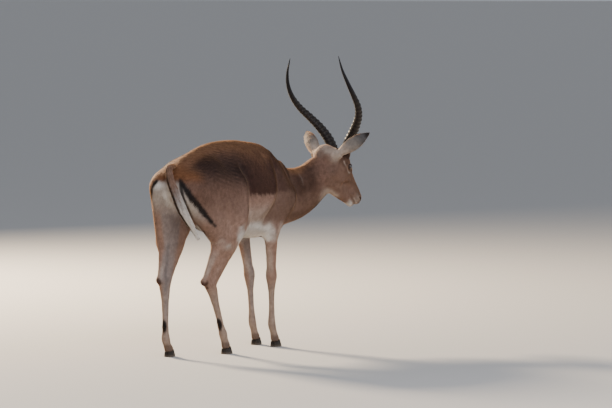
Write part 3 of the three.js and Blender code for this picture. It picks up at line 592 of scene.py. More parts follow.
def rump_layers(m):
    """A pale rump between two black stripes, darkened on its left side by painted shade, and a black painted
    shadow in the cleft beside the tail.
    """
    rump = fade(-8, 12, m.x - np.interp(m.z, *RUMP_FORWARD))
    rump = rump * fade(-8, 4, np.abs(m.y) - np.interp(m.z, *RUMP_ASIDE))
    rump = rump * smooth(580, 690, m.z + 30 * (m.y < 0))
    rump = rump * fade(744, 764, m.z + 4 * m.fine)
    near_tail = fade(10, 34, np.abs(m.y - 8) + 4 * m.fine)
    # painted shade: the left side of the rump darker, with white hair kept near the tail and at the top
    shaded_left_rump = mixed(SHADED_LEFT_RUMP, WHITE, np.maximum(near_tail, smooth(705, 735, m.z)) * 0.8)
    layers = [(mixed(RIGHT_RUMP, shaded_left_rump, smooth(-15, 5, m.y)), rump)]
    for side in (1, -1):
        stripe = np.full(len(m.x), np.inf)
        line = np.array(BUTTOCK_STRIPE, float) * (1, side, 1)
        for k in range(len(line) - 1):
            width = (STRIPE_WIDTHS[k] + STRIPE_WIDTHS[k + 1]) / 2
            stripe = np.minimum(stripe, line_distance(m.place, line[k:k + 2]) - width)
        layers.append((BLACK, fade(-5, 5, stripe + 0.6 * m.fine)))
    # painted shadow in the cleft beside the tail
    return layers + [(BLACK, 0.9 * beside(m.place, CLEFT_SHADOW, 8, 8, both=False))]


def body_colour(points, normals):
    """The coat's colour from the rump to the neck and down the legs."""
    m = marks_of(points, normals)
    colour = layered(TAN, flank_layers(m) + saddle_layers(m) + neck_layers(m))
    colour = colour * (1 + 0.17 * m.streak * smooth(660, 740, m.z - 50 * m.hind))[:, None]
    colour = layered(colour, leg_layers(m) + rump_layers(m))
    for line in (STIFLE_EDGE, BARREL_EDGE, *NECK_CREASES):  # painted highlight: paler along the crests where the skin folds
        colour = mixed(colour, colour * 0.6 + CREAM * 0.5, 0.5 * beside(m.place, line, 2, 9))
    for spot, size in HOCKS:
        near = fade(size * 0.5, size * 1.25, np.linalg.norm(m.place - spot, axis=1) + 3 * m.fine)
        colour = mixed(colour, SADDLE, 0.9 * near)
    return layered(colour, [(BLACK, heel_brush(m.place, normals)),
                            (BRIDGE, 0.6 * fade(44, 58, m.z))])


def nose_pad(face):
    """1 on the bare damp skin between the nostrils."""
    a, b, c = face.T
    wide, high = NOSE_SIZE
    return fade(0.8, 1.1, np.hypot(b / wide, (c - NOSE_HEIGHT) / high)) * smooth(262, 268, a)


def head_layers(face, up, wave):
    """Brown face with a darker bridge and painted light on the upward-facing crown, pale round eyes, lips and
    throat, black nostrils with painted shade in their openings, and a black mouth.
    """
    a, b, c = face.T
    bridge = fade(9, 20, np.abs(b) + 3 * wave) * smooth(95, 140, a) * smooth(0.1, 0.5, up)
    throat = fade(-116, -98, c) * smooth(20, 60, a) * fade(150, 190, a)
    muzzle = smooth(215, 262, a + 3 * wave) * fade(-46, -26, c)
    chin = smooth(212, 246, a + 3 * wave) * fade(-84, -76, c)
    return [(THROAT * 1.15, smooth(-60, -105, c + 8 * wave - 0.12 * a)),
            (THROAT, fade(-70, -20, c + 10 * wave)),
            # painted light from above on the crown's upward-facing hair
            (RIDGE_RED_AND_LIT, smooth(0.2, 0.9, up) * fade(60, 110, a)),
            (BRIDGE, bridge),
            (BRIDGE * 0.7, 0.9 * beside(face, HORN_COLLAR, 10, 10)),
            (CREAM, 0.6 * beside(face, EYE_BAND, 3.5, 7)),
            (CREAM, 0.55 * beside(face, BROW_BAND, 2, 5)),
            (BLACK, 0.8 * beside(face, TEAR_LINE, 4, 6)),
            (CREAM, 0.7 * throat * fade(8, 22, np.abs(b))),
            (CREAM * 0.55, 0.6 * muzzle),
            (CREAM, 0.5 * beside(face, LIP_BAND, 3, 6)),
            (WHITE * 0.8, 0.75 * chin),
            (BLACK * 1.6, nose_pad(face)),
            (BLACK, 0.7 * beside(face, NOSTRIL, 5, 5)),
            (BLACK, 0.9 * beside(face, MOUTH, 1.6, 2.5)),
            # painted shade in the nostrils' openings, darker than the black skin round them
            (BLACK * 0.3, beside(face, NOSTRIL, 2.2, 2))]


def coat_colour(points, normals):
    """The coat's colour at places on the body, head included."""
    face = in_head(points)
    a, _, c = face.T
    forward = in_body(points)[:, 0]
    wave = grain(points, 0.014, 6)
    head_colour = layered(FACE, head_layers(face, (normals @ head_axes)[:, 2], wave))
    on_face = smooth(-25, 35, a + 6 * wave) * smooth(1000, 1060, forward)
    colour = mixed(body_colour(points, normals), head_colour, on_face)
    # paler hair with painted sunlight on the crest between the ears and round their roots
    lit_pale_crest = smooth(-55, -20, a + 6 * wave) * fade(22, 52, a) * smooth(-78, -42, c + 6 * wave)
    colour = mixed(colour, CREAM * 0.92, 0.75 * lit_pale_crest * smooth(980, 1010, forward))
    for root in EAR_ROOTS.values():
        gap = np.linalg.norm((face - root) * (1, 1, 0.8), axis=1)
        colour = mixed(colour, CREAM, 0.9 * fade(19, 36, gap + 4 * wave))
    return colour


def paint(piece, colour):
    """Keeps a colour for each point, which the materials read."""
    attribute = piece.data.color_attributes.new("coat", "FLOAT_COLOR", "POINT")
    attribute.data.foreach_set("color", np.c_[colour, np.ones(len(colour))].ravel())


paint(skin, coat_colour(points_of(skin), normals_of(skin)))
skin_material, skin_tree, skin_shader = new_material(
    "short_coat", Roughness=0.68, Specular_IOR_Level=0.12,
    Sheen_Weight=0.30, Sheen_Roughness=0.4, Sheen_Tint=(1.0, 0.54, 0.26, 1))
base = add_node(skin_tree, "ShaderNodeAttribute", {"attribute_name": "coat"})
place = add_node(skin_tree, "ShaderNodeTexCoord")
hairs = noise(skin_tree, place, 520.0, 4.0)
clumps = noise(skin_tree, place, 60.0, 3.0)
uneven = add_node(skin_tree, "ShaderNodeMix", {"data_type": "RGBA", "blend_type": "SOFT_LIGHT"},
                  _0=0.5, _6=base.outputs["Color"], _7=clumps.outputs["Fac"])
skin_tree.links.new(uneven.outputs[2], skin_shader.inputs["Base Color"])
bumped(skin_tree, skin_shader, hairs.outputs[0], 0.35, 0.0008)
skin.data.materials.append(skin_material)
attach(skin, "root")
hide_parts(*FLESH)

# ---------------------------------------------------------------- ears
# Each ear is a thin leaf of gristle rolled into a cup, furred outside and lined with white hair. Its
# solid is meshed finer, rounded, and joined to the head by the hair at its root.
EAR_VOXEL = 0.0017
EARS = {  # root, the way it points, the way it opens
    "ear_left": (EAR_ROOTS["ear_left"], (0.5, 0.61, 0.6), (0.83, 0.18, -0.52)),
    "ear_right": (EAR_ROOTS["ear_right"], (0.44, -0.7, 0.56), (0.85, 0.53, -0.09)),
}
EAR_LENGTH, EAR_ROWS = 0.158, 14
EAR_BACK = np.array((0.190, 0.165, 0.145))
EAR_LINING = np.array((0.66, 0.60, 0.54))


def ear_colour(points, normals, ear):
    """Grey-brown back, white lining with dark rows, black tip."""
    root, points_to, opens = EARS[ear]
    axis = unit(points_to)
    t = (points - on_head(root)[0]) @ axis / EAR_LENGTH
    opening = normals @ unit(opens)
    rows = np.sin(normals @ np.cross(axis, unit(opens)) * EAR_ROWS)
    return layered(EAR_BACK, [
        (CREAM, fade(0.05, 0.4, t)),
        (EAR_LINING, smooth(0.0, 0.4, opening)),
        (BLACK, smooth(0.1, 0.5, opening) * smooth(0.55, 0.95, rows) * 0.6),
        (GREY * 0.35, smooth(0.38, 0.80, t) * fade(0.0, 0.4, opening)),
        (BLACK, smooth(0.78, 0.92, t + 0.03 * grain(points, 0.01, 5)))])


for name in EARS:
    ear = refined(name + "_leaf", [name], EAR_VOXEL)
    relax(ear, 0.5, 6)
    relax(ear, 0.5, 4, 0.52)
    paint(ear, ear_colour(points_of(ear), normals_of(ear), name))
    ear.data.materials.append(skin_material)
    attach(ear, "root")
    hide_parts(name)

# ---------------------------------------------------------------- eyes
# A dark brown wet ball with a long level pupil. The lid is a ring of skin stretched over the ball,
# black along its almond edge.
LID_RADIUS, LID_SIZE = 0.0184, (0.0184, 0.0180)
LID_OPEN = (0.0156, 0.0102)  # half of the opening, along the face and across it
LID_RINGS, LID_CORNERS = 9, 72
LID_BACK = 0.0025  # how deep the edge turns in behind the lid
LID_BULGE, LID_FALL = 0.0010, 0.0022  # thickness near the opening, and how far the outer edge dips
EYE_LEVEL = np.array((0.97, 0, 0.25))  # the way the opening runs, in the head's axes
EYE_BROWN = (0.035, 0.014, 0.006, 1)
EYE_CORNER = np.array((0.16, 0.12, 0.10))
PUPIL_BLACK, PUPIL_SIZE = np.array((0.004, 0.003, 0.003)), (0.52, 0.26)


def tube_faces(steps, sides):
    """Four corners of each face of a tube from rings of points, with one more ring than steps."""
    return [(r * sides + k, r * sides + (k + 1) % sides,
             (r + 1) * sides + (k + 1) % sides, (r + 1) * sides + k)
            for r in range(steps) for k in range(sides)]


def plain_piece(name, points, faces):
    """A smooth piece from its points and the corners of its faces."""
    mesh = bpy.data.meshes.new(name)
    mesh.from_pydata(points.tolist(), [], faces)
    piece = bpy.data.objects.new(name, mesh)
    scene.collection.objects.link(piece)
    mesh.shade_smooth()
    return piece


for name, (centre, look) in EYES.items():
    side = 1 if name == "eye_left" else -1
    level = unit(head_axes @ EYE_LEVEL)
    level = unit(level - look * (level @ look))
    up = np.cross(look, level) * side
    bpy.ops.object.select_all(action="DESELECT")
    bpy.ops.mesh.primitive_uv_sphere_add(segments=48, ring_count=32, radius=EYE_RADIUS)
    ball = bpy.context.object
    ball.name = name + "_ball"
    ball.data.transform(Matrix(np.stack([level, up, look], 1).tolist()).to_4x4())
    ball.data.transform(Matrix.Translation(centre))
    ball.data.shade_smooth()
    eye_material, eye_tree, eye_shader = new_material(
        name + "_wet", Base_Color=EYE_BROWN, Roughness=0.06, Specular_IOR_Level=0.3,
        Coat_Weight=0.25, Coat_Roughness=0.02)
    spot = add_node(eye_tree, "ShaderNodeAttribute", {"attribute_name": "coat"})
    eye_tree.links.new(spot.outputs["Color"], eye_shader.inputs["Base Color"])
    out = (points_of(ball) - centre) / EYE_RADIUS
    wide, high = out @ level, out @ up
    pupil = fade(0.9, 1.1, np.sqrt((wide / PUPIL_SIZE[0]) ** 2 + (high / PUPIL_SIZE[1]) ** 2))
    iris = fade(0.88, 0.94, np.sqrt(wide ** 2 + high ** 2))
    paint(ball, layered(EYE_CORNER, [(np.array(EYE_BROWN[:3]), iris), (PUPIL_BLACK, pupil)]))
    ball.data.materials.append(eye_material)
    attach(ball, "root")
    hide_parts(name)

    turn = np.linspace(0, 2 * np.pi, LID_CORNERS, endpoint=False)
    verts = []
    for t in np.arange(LID_RINGS) / (LID_RINGS - 1):
        almond = np.array((LID_OPEN[0] * np.sign(np.cos(turn)) * np.abs(np.cos(turn)) ** 0.8,
                           LID_OPEN[1] * np.sin(turn) * (1 - 0.25 * np.cos(turn) ** 2)))
        outer = np.array((LID_SIZE[0] * np.cos(turn), LID_SIZE[1] * np.sin(turn)))
        flat = almond + (outer - almond) * t ** 1.2
        radius = LID_RADIUS + LID_BULGE * math.sin(math.pi * min(1.0, t * 1.6)) - LID_FALL * t ** 3
        rise = np.sqrt(np.maximum(radius ** 2 - (flat ** 2).sum(0), 1e-8))
        verts.append(centre + np.outer(flat[0], level) + np.outer(flat[1], up) + np.outer(rise, look))
    verts = np.concatenate([verts[0] - look * LID_BACK] + verts)
    faces = tube_faces(LID_RINGS, LID_CORNERS)
    lid = plain_piece(name + "_lid", verts, faces if side > 0 else [face[::-1] for face in faces])
    spread = np.repeat(np.r_[0, np.arange(LID_RINGS)], LID_CORNERS) / (LID_RINGS - 1)
    paint(lid, mixed(BLACK, FACE, smooth(0.35, 0.8, spread)))
    lid.data.materials.append(skin_material)
    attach(lid, "root")

# ---------------------------------------------------------------- horns
# Lyre-shaped sheaths of keratin over bone: heavy rings up the lower two thirds, worn pale on their
# crests, then a smooth dark tip. Each is drawn as rings along its own curve, from inside the brow.
HORN = [[74, 25, 29], [39, 48, 65], [1, 77, 90], [-40, 107, 105], [-87, 131, 112],
        [-137, 142, 120], [-187, 142, 135], [-233, 131, 159], [-274, 113, 197]]
RIGHT_BOW = 13  # millimetres that the right horn bows out more, low down
HORN_RADIUS, HORN_DEPTH = 24, 0.88  # millimetres at the root, and the share of it from side to side
RIDGES, RIDGED, RIDGE_HEIGHT = 17, 0.66, 2.7
HORN_RINGS, HORN_SIDES = 300, 40
SUNK_RINGS, SUNK_STEP, SUNK_TURN = 6, 0.0028, 0.0024  # the root in the skull: along the horn, and inwards
HORN_DARK = np.array((0.013, 0.010, 0.009))
HORN_WORN = np.array((0.032, 0.025, 0.020))
HORN_TIP = np.array((0.008, 0.007, 0.008))


def blend(t, low, high, first, last):
    """Goes straight from first, where t is low, to last, where it is high."""
    return (high - t) / (high - low) * first + (t - low) / (high - low) * last


def curve_through(places, count):
    """A smooth curve through places, as evenly spaced points."""
    places = np.array(places, float)
    knots = np.r_[0, np.cumsum(np.sqrt(np.linalg.norm(np.diff(places, axis=0), axis=1)))]
    padded = np.vstack([2 * places[0] - places[1], places, 2 * places[-1] - places[-2]])
    knots = np.r_[knots[0] - (knots[1] - knots[0]), knots, 2 * knots[-1] - knots[-2]]
    fine = []
    for i in range(1, len(padded) - 2):
        p, k = padded[i - 1:i + 3], knots[i - 1:i + 3]
        t = np.linspace(k[1], k[2], 60, endpoint=i == len(padded) - 3)[:, None]
        a = [blend(t, k[j], k[j + 1], p[j], p[j + 1]) for j in range(3)]
        b = [blend(t, k[j], k[j + 2], a[j], a[j + 1]) for j in range(2)]
        fine.append(blend(t, k[1], k[2], b[0], b[1]))
    fine = np.vstack(fine)
    run = np.r_[0, np.cumsum(np.linalg.norm(np.diff(fine, axis=0), axis=1))]
    even = np.linspace(0, run[-1], count)
    return np.stack([np.interp(even, run, axis) for axis in fine.T], 1)


def lofted(name, rings):
    """A closed tube from rings of the same number of points, with a flat face over each end."""
    rings = np.array(rings)
    count, sides = rings.shape[:2]
    faces = tube_faces(count - 1, sides)
    faces += [tuple(range(sides))[::-1], tuple(range((count - 1) * sides, count * sides))]
    piece = plain_piece(name, rings.reshape(-1, 3), faces)
    outward = bmesh.new()
    outward.from_mesh(piece.data)
    bmesh.ops.recalc_face_normals(outward, faces=outward.faces)
    outward.to_mesh(piece.data)
    outward.free()
    return piece


horn_material, horn_tree, horn_shader = new_material(
    "horn_keratin", Roughness=0.42, Specular_IOR_Level=0.14)
place = add_node(horn_tree, "ShaderNodeTexCoord")
base = add_node(horn_tree, "ShaderNodeAttribute", {"attribute_name": "coat"})
flakes = noise(horn_tree, place, 220.0, 6.0)
cracks = noise(horn_tree, place, 900.0, 3.0)
mottle = add_node(horn_tree, "ShaderNodeMix", {"data_type": "RGBA", "blend_type": "OVERLAY"},
                  _0=0.55, _6=base.outputs["Color"], _7=flakes.outputs["Color"])
horn_tree.links.new(mottle.outputs[2], horn_shader.inputs["Base Color"])
bumped(horn_tree, horn_shader, cracks.outputs[0], 0.35, 0.0008)

for name, side in (("horn_left", 1), ("horn_right", -1)):
    fractions = np.arange(len(HORN)) / (len(HORN) - 1)
    bow = RIGHT_BOW * np.sin(1.6 * np.pi * fractions) * (1 - fractions ** 3) * (side < 0)
    line = curve_through(on_head([(x, side * (y + b), z) for (x, y, z), b in zip(HORN, bow)]), HORN_RINGS)
    tangents = np.gradient(line, axis=0)
    tangents /= np.linalg.norm(tangents, axis=1)[:, None]
    t = np.linspace(0, 1, HORN_RINGS)
    wave = np.sin(2 * np.pi * RIDGES * (t / RIDGED) ** 0.92 - 1.2)
    crest = np.where(t < RIDGED, np.maximum(wave, -0.5), 0) * fade(RIDGED - 0.12, RIDGED, t)
    across_horn = np.cross(head_axes[:, 1], tangents)
    across_horn /= np.linalg.norm(across_horn, axis=1)[:, None]
    other = np.cross(tangents, across_horn)
    turn = np.linspace(0, 2 * np.pi, HORN_SIDES, endpoint=False)
    front = 0.65 + 0.35 * np.cos(turn)
    radius = HORN_RADIUS * (1 - t) ** 0.72 * (1 - 0.12 * t) + 1.6 * (1 - t) + 0.6
    ridges = RIDGE_HEIGHT * (crest * (1 - 0.6 * t))[:, None] * front
    radius = radius[:, None] + ridges + 0.25 * np.sin(9 * turn)
    rings = (line[:, None] + across_horn[:, None] * (radius * np.cos(turn) / 1000)[..., None]
             + other[:, None] * (HORN_DEPTH * radius * np.sin(turn) / 1000)[..., None])
    sink = tangents[0] * SUNK_STEP + head_axes[:, 2] * SUNK_TURN
    sunk = [line[0] + (rings[0] - line[0]) * (1 - 0.03 * k) - sink * k for k in range(SUNK_RINGS, 0, -1)]
    horn = lofted(name + "_sheath", np.concatenate([sunk, rings]))
    shade = np.repeat(np.r_[np.zeros(SUNK_RINGS), np.clip(crest, 0, 1)], HORN_SIDES)
    along = np.repeat(np.r_[np.zeros(SUNK_RINGS), t], HORN_SIDES)
    paint(horn, layered(HORN_DARK, [(HORN_WORN, shade * 0.6), (HORN_TIP, smooth(0.6, 0.75, along))]))
    horn.data.materials.append(horn_material)
    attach(horn, "root")
    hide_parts(name)

# ---------------------------------------------------------------- hooves
# Eight claws of dark horn, two to a foot, pointed at the toe, with fine growth rings round the wall
# and a paler worn edge. Each claw's solid is meshed finer and rounded, and keeps its flat sole.
HOOF_DARK, HOOF_WORN = (0.022, 0.017, 0.014, 1), (0.20, 0.155, 0.115, 1)
HOOF_VOXEL = 0.0016
WORN_HEIGHT = 0.012

hoof_material, hoof_tree, hoof_shader = new_material(
    "hoof_horn", Roughness=0.56, Specular_IOR_Level=0.2)
place = add_node(hoof_tree, "ShaderNodeTexCoord")
height = add_node(hoof_tree, "ShaderNodeSeparateXYZ", Vector=place.outputs["Object"])
rings = add_node(hoof_tree, "ShaderNodeTexWave", {"bands_direction": "Z"}, Vector=place.outputs["Object"],
                 Scale=70.0, Distortion=2.5, Detail=3.0)
worn = add_node(hoof_tree, "ShaderNodeMapRange", Value=height.outputs["Z"],
                From_Min=0.0, From_Max=WORN_HEIGHT, To_Min=1.0, To_Max=0.0)
stains = noise(hoof_tree, place, 90.0, 5.0)
edge = add_node(hoof_tree, "ShaderNodeMath", {"operation": "MULTIPLY"},
                _0=worn.outputs[0], _1=stains.outputs[0])
paint_mix = add_node(hoof_tree, "ShaderNodeMix", {"data_type": "RGBA"},
                     _0=edge.outputs[0], _6=HOOF_DARK, _7=HOOF_WORN)
hoof_tree.links.new(paint_mix.outputs[2], hoof_shader.inputs["Base Color"])
bumped(hoof_tree, hoof_shader, rings.outputs[1], 0.12, 0.0004)

for name in [node for node in frame["nodes"] if node.startswith("hoof_")]:
    claw = refined(name + "_horn", [name], HOOF_VOXEL)
    relax(claw, 0.5, 4)
    points = sloped(points_of(claw))
    points[:, 2] = np.maximum(points[:, 2], 0.0)
    set_points(claw, points)
    claw.data.materials.append(hoof_material)
    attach(claw, "root")
    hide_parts(name)

# ---------------------------------------------------------------- coat
# Short flat hair. Each slim solid spike is a tuft of it, and they overlap like slates and follow the
# lie of the coat: back along the body, down the legs, from nose to crown on the face. They are
# shortest on face and feet, and one piece covers each part of the body, or each half of the trunk.
CLOSE, WIDE = 0.0019, 0.0030  # from tuft to tuft on face and feet, and on the body
TUFT_SUNK = 0.0004
SHADE_ROOT, SHADE_TIP = 0.80, 1.12
LID_CLEAR = 0.0187  # no hair nearer than this to the middle of an eye
HOOF_CLEAR = 0.0345 - HEEL_DROP  # nor lower than this on the foot
UV_PATCH = 0.003
SHEET_MARGIN, SHEET_SHARE = 0.02, 0.95  # round each of the six views, and of its place on the sheet
# Lengths of hair: on face and feet, more on the body, on the belly and round sprouts, on the brushes.
SHORT_HAIR, BODY_MORE, BELLY_MORE, BRUSH_MORE, HAIR_UNEVEN = 0.0052, 0.0095, 0.006, 0.016, 0.0008
rng = np.random.default_rng(11)

# Roots of the ears and horns, where hair turns up, and the way that it then points.
SPROUTS = [(on_head(root)[0], unit(points_to)) for root, points_to, _ in EARS.values()]
SPROUTS += [(on_head((72, side * 26, 22))[0], head_axes @ unit((-0.55, side * 0.35, 0.75)))
            for side in (1, -1)]
SPROUT_REACH = 0.019
# Which way the hair points: on the back, the rump, the legs, the neck, and in the head's axes the face.
LIE_BACK, LIE_RUMP, LIE_LEG = np.array([(-1.0, 0.0, -0.22), (-0.35, 0.0, -1.0), (-0.15, 0.0, -1.0)])
LIE_NECK, LIE_FACE = np.array([(-0.85, 0.30, -0.42), (-1.0, 0.0, -0.30)])


def sprouting(points):
    """How near each point is to the root of each ear and horn, where hair turns up along it."""
    gaps = [np.linalg.norm(points - root, axis=1) for root, _ in SPROUTS]
    return np.stack([np.exp(-(gap / SPROUT_REACH) ** 4) for gap in gaps], 1)


def flow(points, normals):
    """The way the hair points, along the skin."""
    x, _, z = in_body(points).T
    on_face = smooth(-10, 50, in_head(points)[:, 0]) * smooth(980, 1060, x)
    lie = layered(LIE_BACK, [(LIE_RUMP, fade(-10, 190, x)), (LIE_LEG, fade(440, 620, z)),
                             (LIE_NECK, smooth(800, 900, x)), (head_axes @ LIE_FACE, on_face)])
    for (_, axis), near in zip(SPROUTS, sprouting(points).T):
        lie = mixed(lie, 1.6 * axis, near)
    swirl = np.stack([grain(points, 0.05, seed) for seed in (21, 22, 23)], 1)
    lie = lie + 0.16 * swirl + rng.normal(0, 0.11, points.shape)
    lie -= normals * (lie * normals).sum(1)[:, None]
    return lie / np.linalg.norm(lie, axis=1)[:, None]


def unwrapped(points, normals):
    """A place on a flat sheet for each point: six views of the piece along the axes, side by side."""
    axis = np.abs(normals).argmax(1)
    sign = np.take_along_axis(normals, axis[:, None], 1)[:, 0] > 0
    low, high = points.min(0), points.max(0)
    share = (points - low) / (high - low + 1e-9)
    first = np.where(axis == 0, share[:, 1], share[:, 0])
    second = np.where(axis == 2, share[:, 1], share[:, 2])
    return np.stack([(axis + SHEET_MARGIN + SHEET_SHARE * first) / 3,
                     (sign + SHEET_MARGIN + SHEET_SHARE * second) / 2], 1)


def hair_piece(name, corners, shape, places, patch, colours):
    """Joined solid hairs of one shape: corners of each, faces, place and patch on the sheet, colours."""
    faces = (shape[None] + corners.shape[1] * np.arange(len(corners))[:, None, None]).reshape(-1)
    mesh = bpy.data.meshes.new(name)
    mesh.vertices.add(corners.size // 3)
    mesh.vertices.foreach_set("co", corners.ravel())
    mesh.loops.add(len(faces))
    mesh.loops.foreach_set("vertex_index", faces)
    mesh.polygons.add(len(faces) // 3)
    mesh.polygons.foreach_set("loop_start", np.arange(0, len(faces), 3))
    mesh.polygons.foreach_set("use_smooth", np.ones(len(faces) // 3, bool))
    mesh.update()
    piece = bpy.data.objects.new(name, mesh)
    scene.collection.objects.link(piece)
    sheet = mesh.uv_layers.new(name="OFBake")
    sheet.data.foreach_set("uv", (places[:, None] + patch * UV_PATCH)[:, shape.ravel()].ravel())
    paint(piece, colours.reshape(-1, 3))
    mesh.materials.append(skin_material)
    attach(piece, "root")
    return piece


def tufted(name, roots, normals, lie, length, width, lift, colour):
    """Joined solid spikes: two corners and a ridge at the root, and a tip that lies along the skin."""
    count = len(roots)
    across = np.cross(normals, lie)
    length, width, lift = (np.broadcast_to(v, count)[:, None] for v in (length, width, lift))
    tip = roots + lie * length + normals * (lift * length)
    sunk = roots - normals * TUFT_SUNK
    corners = np.stack([sunk - across * width / 2, sunk + across * width / 2,
                        roots + normals * width * 0.28 + lie * length * 0.12, tip], 1)
    shape = np.array([(0, 3, 2), (1, 2, 3), (0, 1, 3), (0, 2, 1)])
    patch = np.array([(0, 0), (1, 0), (0.5, 0.3), (0.5, 1)])
    dark, light = colour * SHADE_ROOT, colour * SHADE_TIP
    piece = hair_piece(name, corners, shape, unwrapped(roots, normals), patch,
                       np.stack([dark, dark, colour, light], 1))
    tilt = normals + 0.16 * lie + rng.normal(0, 0.10, normals.shape)
    spread = np.array((-0.22, 0.22, 0.0, 0.0))
    turned = tilt[:, None] + across[:, None] * spread[None, :, None]
    piece.data.normals_split_custom_set_from_vertices(turned.reshape(-1, 3).tolist())


def scattered(piece, spacing):
    """Random roots over a piece, one for each square of the spacing wanted there."""
    piece.data.calc_loop_triangles()
    corners = array_of(piece.data.loop_triangles, "vertices", 3, int)
    points, normals = points_of(piece), normals_of(piece)
    a, b, c = (points[corners[:, k]] for k in range(3))
    area = np.linalg.norm(np.cross(b - a, c - a), axis=1) / 2
    wanted = area / spacing((a + b + c) / 3) ** 2
    times = np.floor(wanted + rng.random(len(wanted))).astype(int)
    chosen = np.repeat(np.arange(len(corners)), times)
    weight = rng.dirichlet((1, 1, 1), len(chosen))
    roots = (points[corners[chosen]] * weight[..., None]).sum(1)
    turned = (normals[corners[chosen]] * weight[..., None]).sum(1)
    return roots, turned / np.linalg.norm(turned, axis=1)[:, None]


def fineness(points):
    """0 on the face and the feet, 1 on the body."""
    x, _, z = in_body(points).T
    return smooth(150, 600, z) * fade(980, 1080, x)


roots, root_normals = scattered(skin, lambda p: CLOSE + (WIDE - CLOSE) * fineness(p))
bare = (nose_pad(in_head(roots)) > 0.4) | (roots[:, 2] < HOOF_CLEAR)
for centre, _ in EYES.values():
    bare |= np.linalg.norm(roots - centre, axis=1) < LID_CLEAR
roots, root_normals = roots[~bare], root_normals[~bare]

# Each tuft belongs to the part of the body that it stands nearest to.
nearest = KDTree(sum(len(frame["nodes"][name].data.polygons) for name in FLESH))
owner = []
for number, name in enumerate(FLESH):
    for face in frame["nodes"][name].data.polygons:
        nearest.insert(face.center, len(owner))
        owner.append(number)
nearest.balance()
owner = np.array([owner[nearest.find(root)[1]] for root in roots.tolist()])

# Hair is longer on the body, and longest under the belly, round ears and horns and behind the heels.
fine = fineness(roots)
sprout = sprouting(roots).max(1)
brush = heel_brush(in_body(roots), root_normals)
x, _, z = in_body(roots).T
belly = smooth(0.3, 0.7, -root_normals[:, 2]) * smooth(470, 520, z) * fade(1000, 1100, x)
length = SHORT_HAIR + BODY_MORE * fine + BELLY_MORE * (sprout + belly) + BRUSH_MORE * brush
length += rng.normal(0, HAIR_UNEVEN, len(roots))
width = 0.0014 + 0.0013 * fine
lift = 0.13 + 0.03 * rng.random(len(roots)) + 0.3 * sprout + 0.12 * brush + 0.1 * belly
lie = flow(roots, root_normals)
colour = coat_colour(roots + lie * (0.55 * length)[:, None], root_normals)
colour *= (1 + 0.05 * grain(roots, 0.012, 8) + rng.normal(0, 0.08, len(roots)))[:, None]
colour = np.clip(colour, 0.004, 0.95)

for number, name in enumerate(FLESH):
    mine = owner == number
    halves = {"": mine}
    if name == "trunk":
        on_left = roots[:, 1] > TAIL_FOOT[1]
        halves = {"_left": mine & on_left, "_right": mine & ~on_left}
    for half, chosen in halves.items():
        tufted(f"coat_{name}{half}", roots[chosen], root_normals[chosen], lie[chosen], length[chosen],
               width[chosen], lift[chosen], colour[chosen])

# ---------------------------------------------------------------- tail
# A thin bony dock hidden in long soft hair: brown at the root, white at the edges and at the wispy
# tip, with a black stripe all down one edge. Locks leave the dock, bend down along it and overlap.
TAIL = [((30, 0, 814), 17, 17), ((-14, -1, 808), 19, 17), ((-44, -22, 766), 24, 15),
        ((-52, -56, 700), 29, 14), ((-43, -85, 628), 32, 13), ((-17, -111, 566), 24, 11),
        ((-5, -127, 530), 11, 6)]  # place, half sizes
TAIL_STEPS, DOCK_SIDES = 80, 20
DOCK_SHARE = 0.5  # of the whole tail's thickness
LOCKS, LOCK_WIDTH = 6200, 0.0022
HAIR_SHARE = 0.76  # of that thickness, where the locks end
TIP_REACH = 0.14  # metres of hair past the last station for each further share of the tail
STRIPE_TURN, STRIPE_HALF = -0.84, 0.46  # where the black stripe lies round the dock, and half its angle

tail_line = curve_through(at([spot for spot, _, _ in TAIL]), TAIL_STEPS)
tail_tangent = np.gradient(tail_line, axis=0)
tail_tangent /= np.linalg.norm(tail_tangent, axis=1)[:, None]
tail_left = np.array((0, 1, 0)) - tail_tangent * tail_tangent[:, 1:2]
tail_left /= np.linalg.norm(tail_left, axis=1)[:, None]
tail_front = np.cross(tail_tangent, tail_left)
tail_steps = np.linspace(0, 1, TAIL_STEPS)
stops = np.linspace(0, 1, len(TAIL))
tail_sizes = np.stack([np.interp(tail_steps, stops, [row[k] for row in TAIL]) for k in (1, 2)], 1)


def on_tail(t, turn, share):
    """A place on the tail: how far along, the angle round it, and the share of its thickness."""
    line, left, front = (np.stack([np.interp(t, tail_steps, column) for column in field.T], 1)
                         for field in (tail_line, tail_left, tail_front))
    wide, deep = (np.interp(t, tail_steps, tail_sizes[:, k]) / 1000 * share for k in (0, 1))
    beyond = np.maximum(t - 1, 0)[:, None] * TIP_REACH * tail_tangent[-1]
    return line + beyond + left * (wide * np.cos(turn))[:, None] + front * (deep * np.sin(turn))[:, None]


def tail_colour(t, turn):
    """The tail's colour: how far along, and the angle round it."""
    gap = np.abs((turn - STRIPE_TURN + np.pi) % (2 * np.pi) - np.pi)
    stripe = fade(STRIPE_HALF * 0.75, STRIPE_HALF * 1.2, gap)
    return layered(RIDGE_RED_AND_LIT, [
        (TAN * 0.75, smooth(0.04, 0.16, t)),
        # painted shade: grey over the white hair in the middle of the tail
        (GREY * 1.3, smooth(0.36, 0.52, t)),
        (WHITE * 0.85, smooth(0.46, 0.72, t + 0.10 * np.cos(turn) ** 2)),
        (BLACK, stripe * smooth(0.14, 0.22, t) * fade(0.86, 0.95, t))])


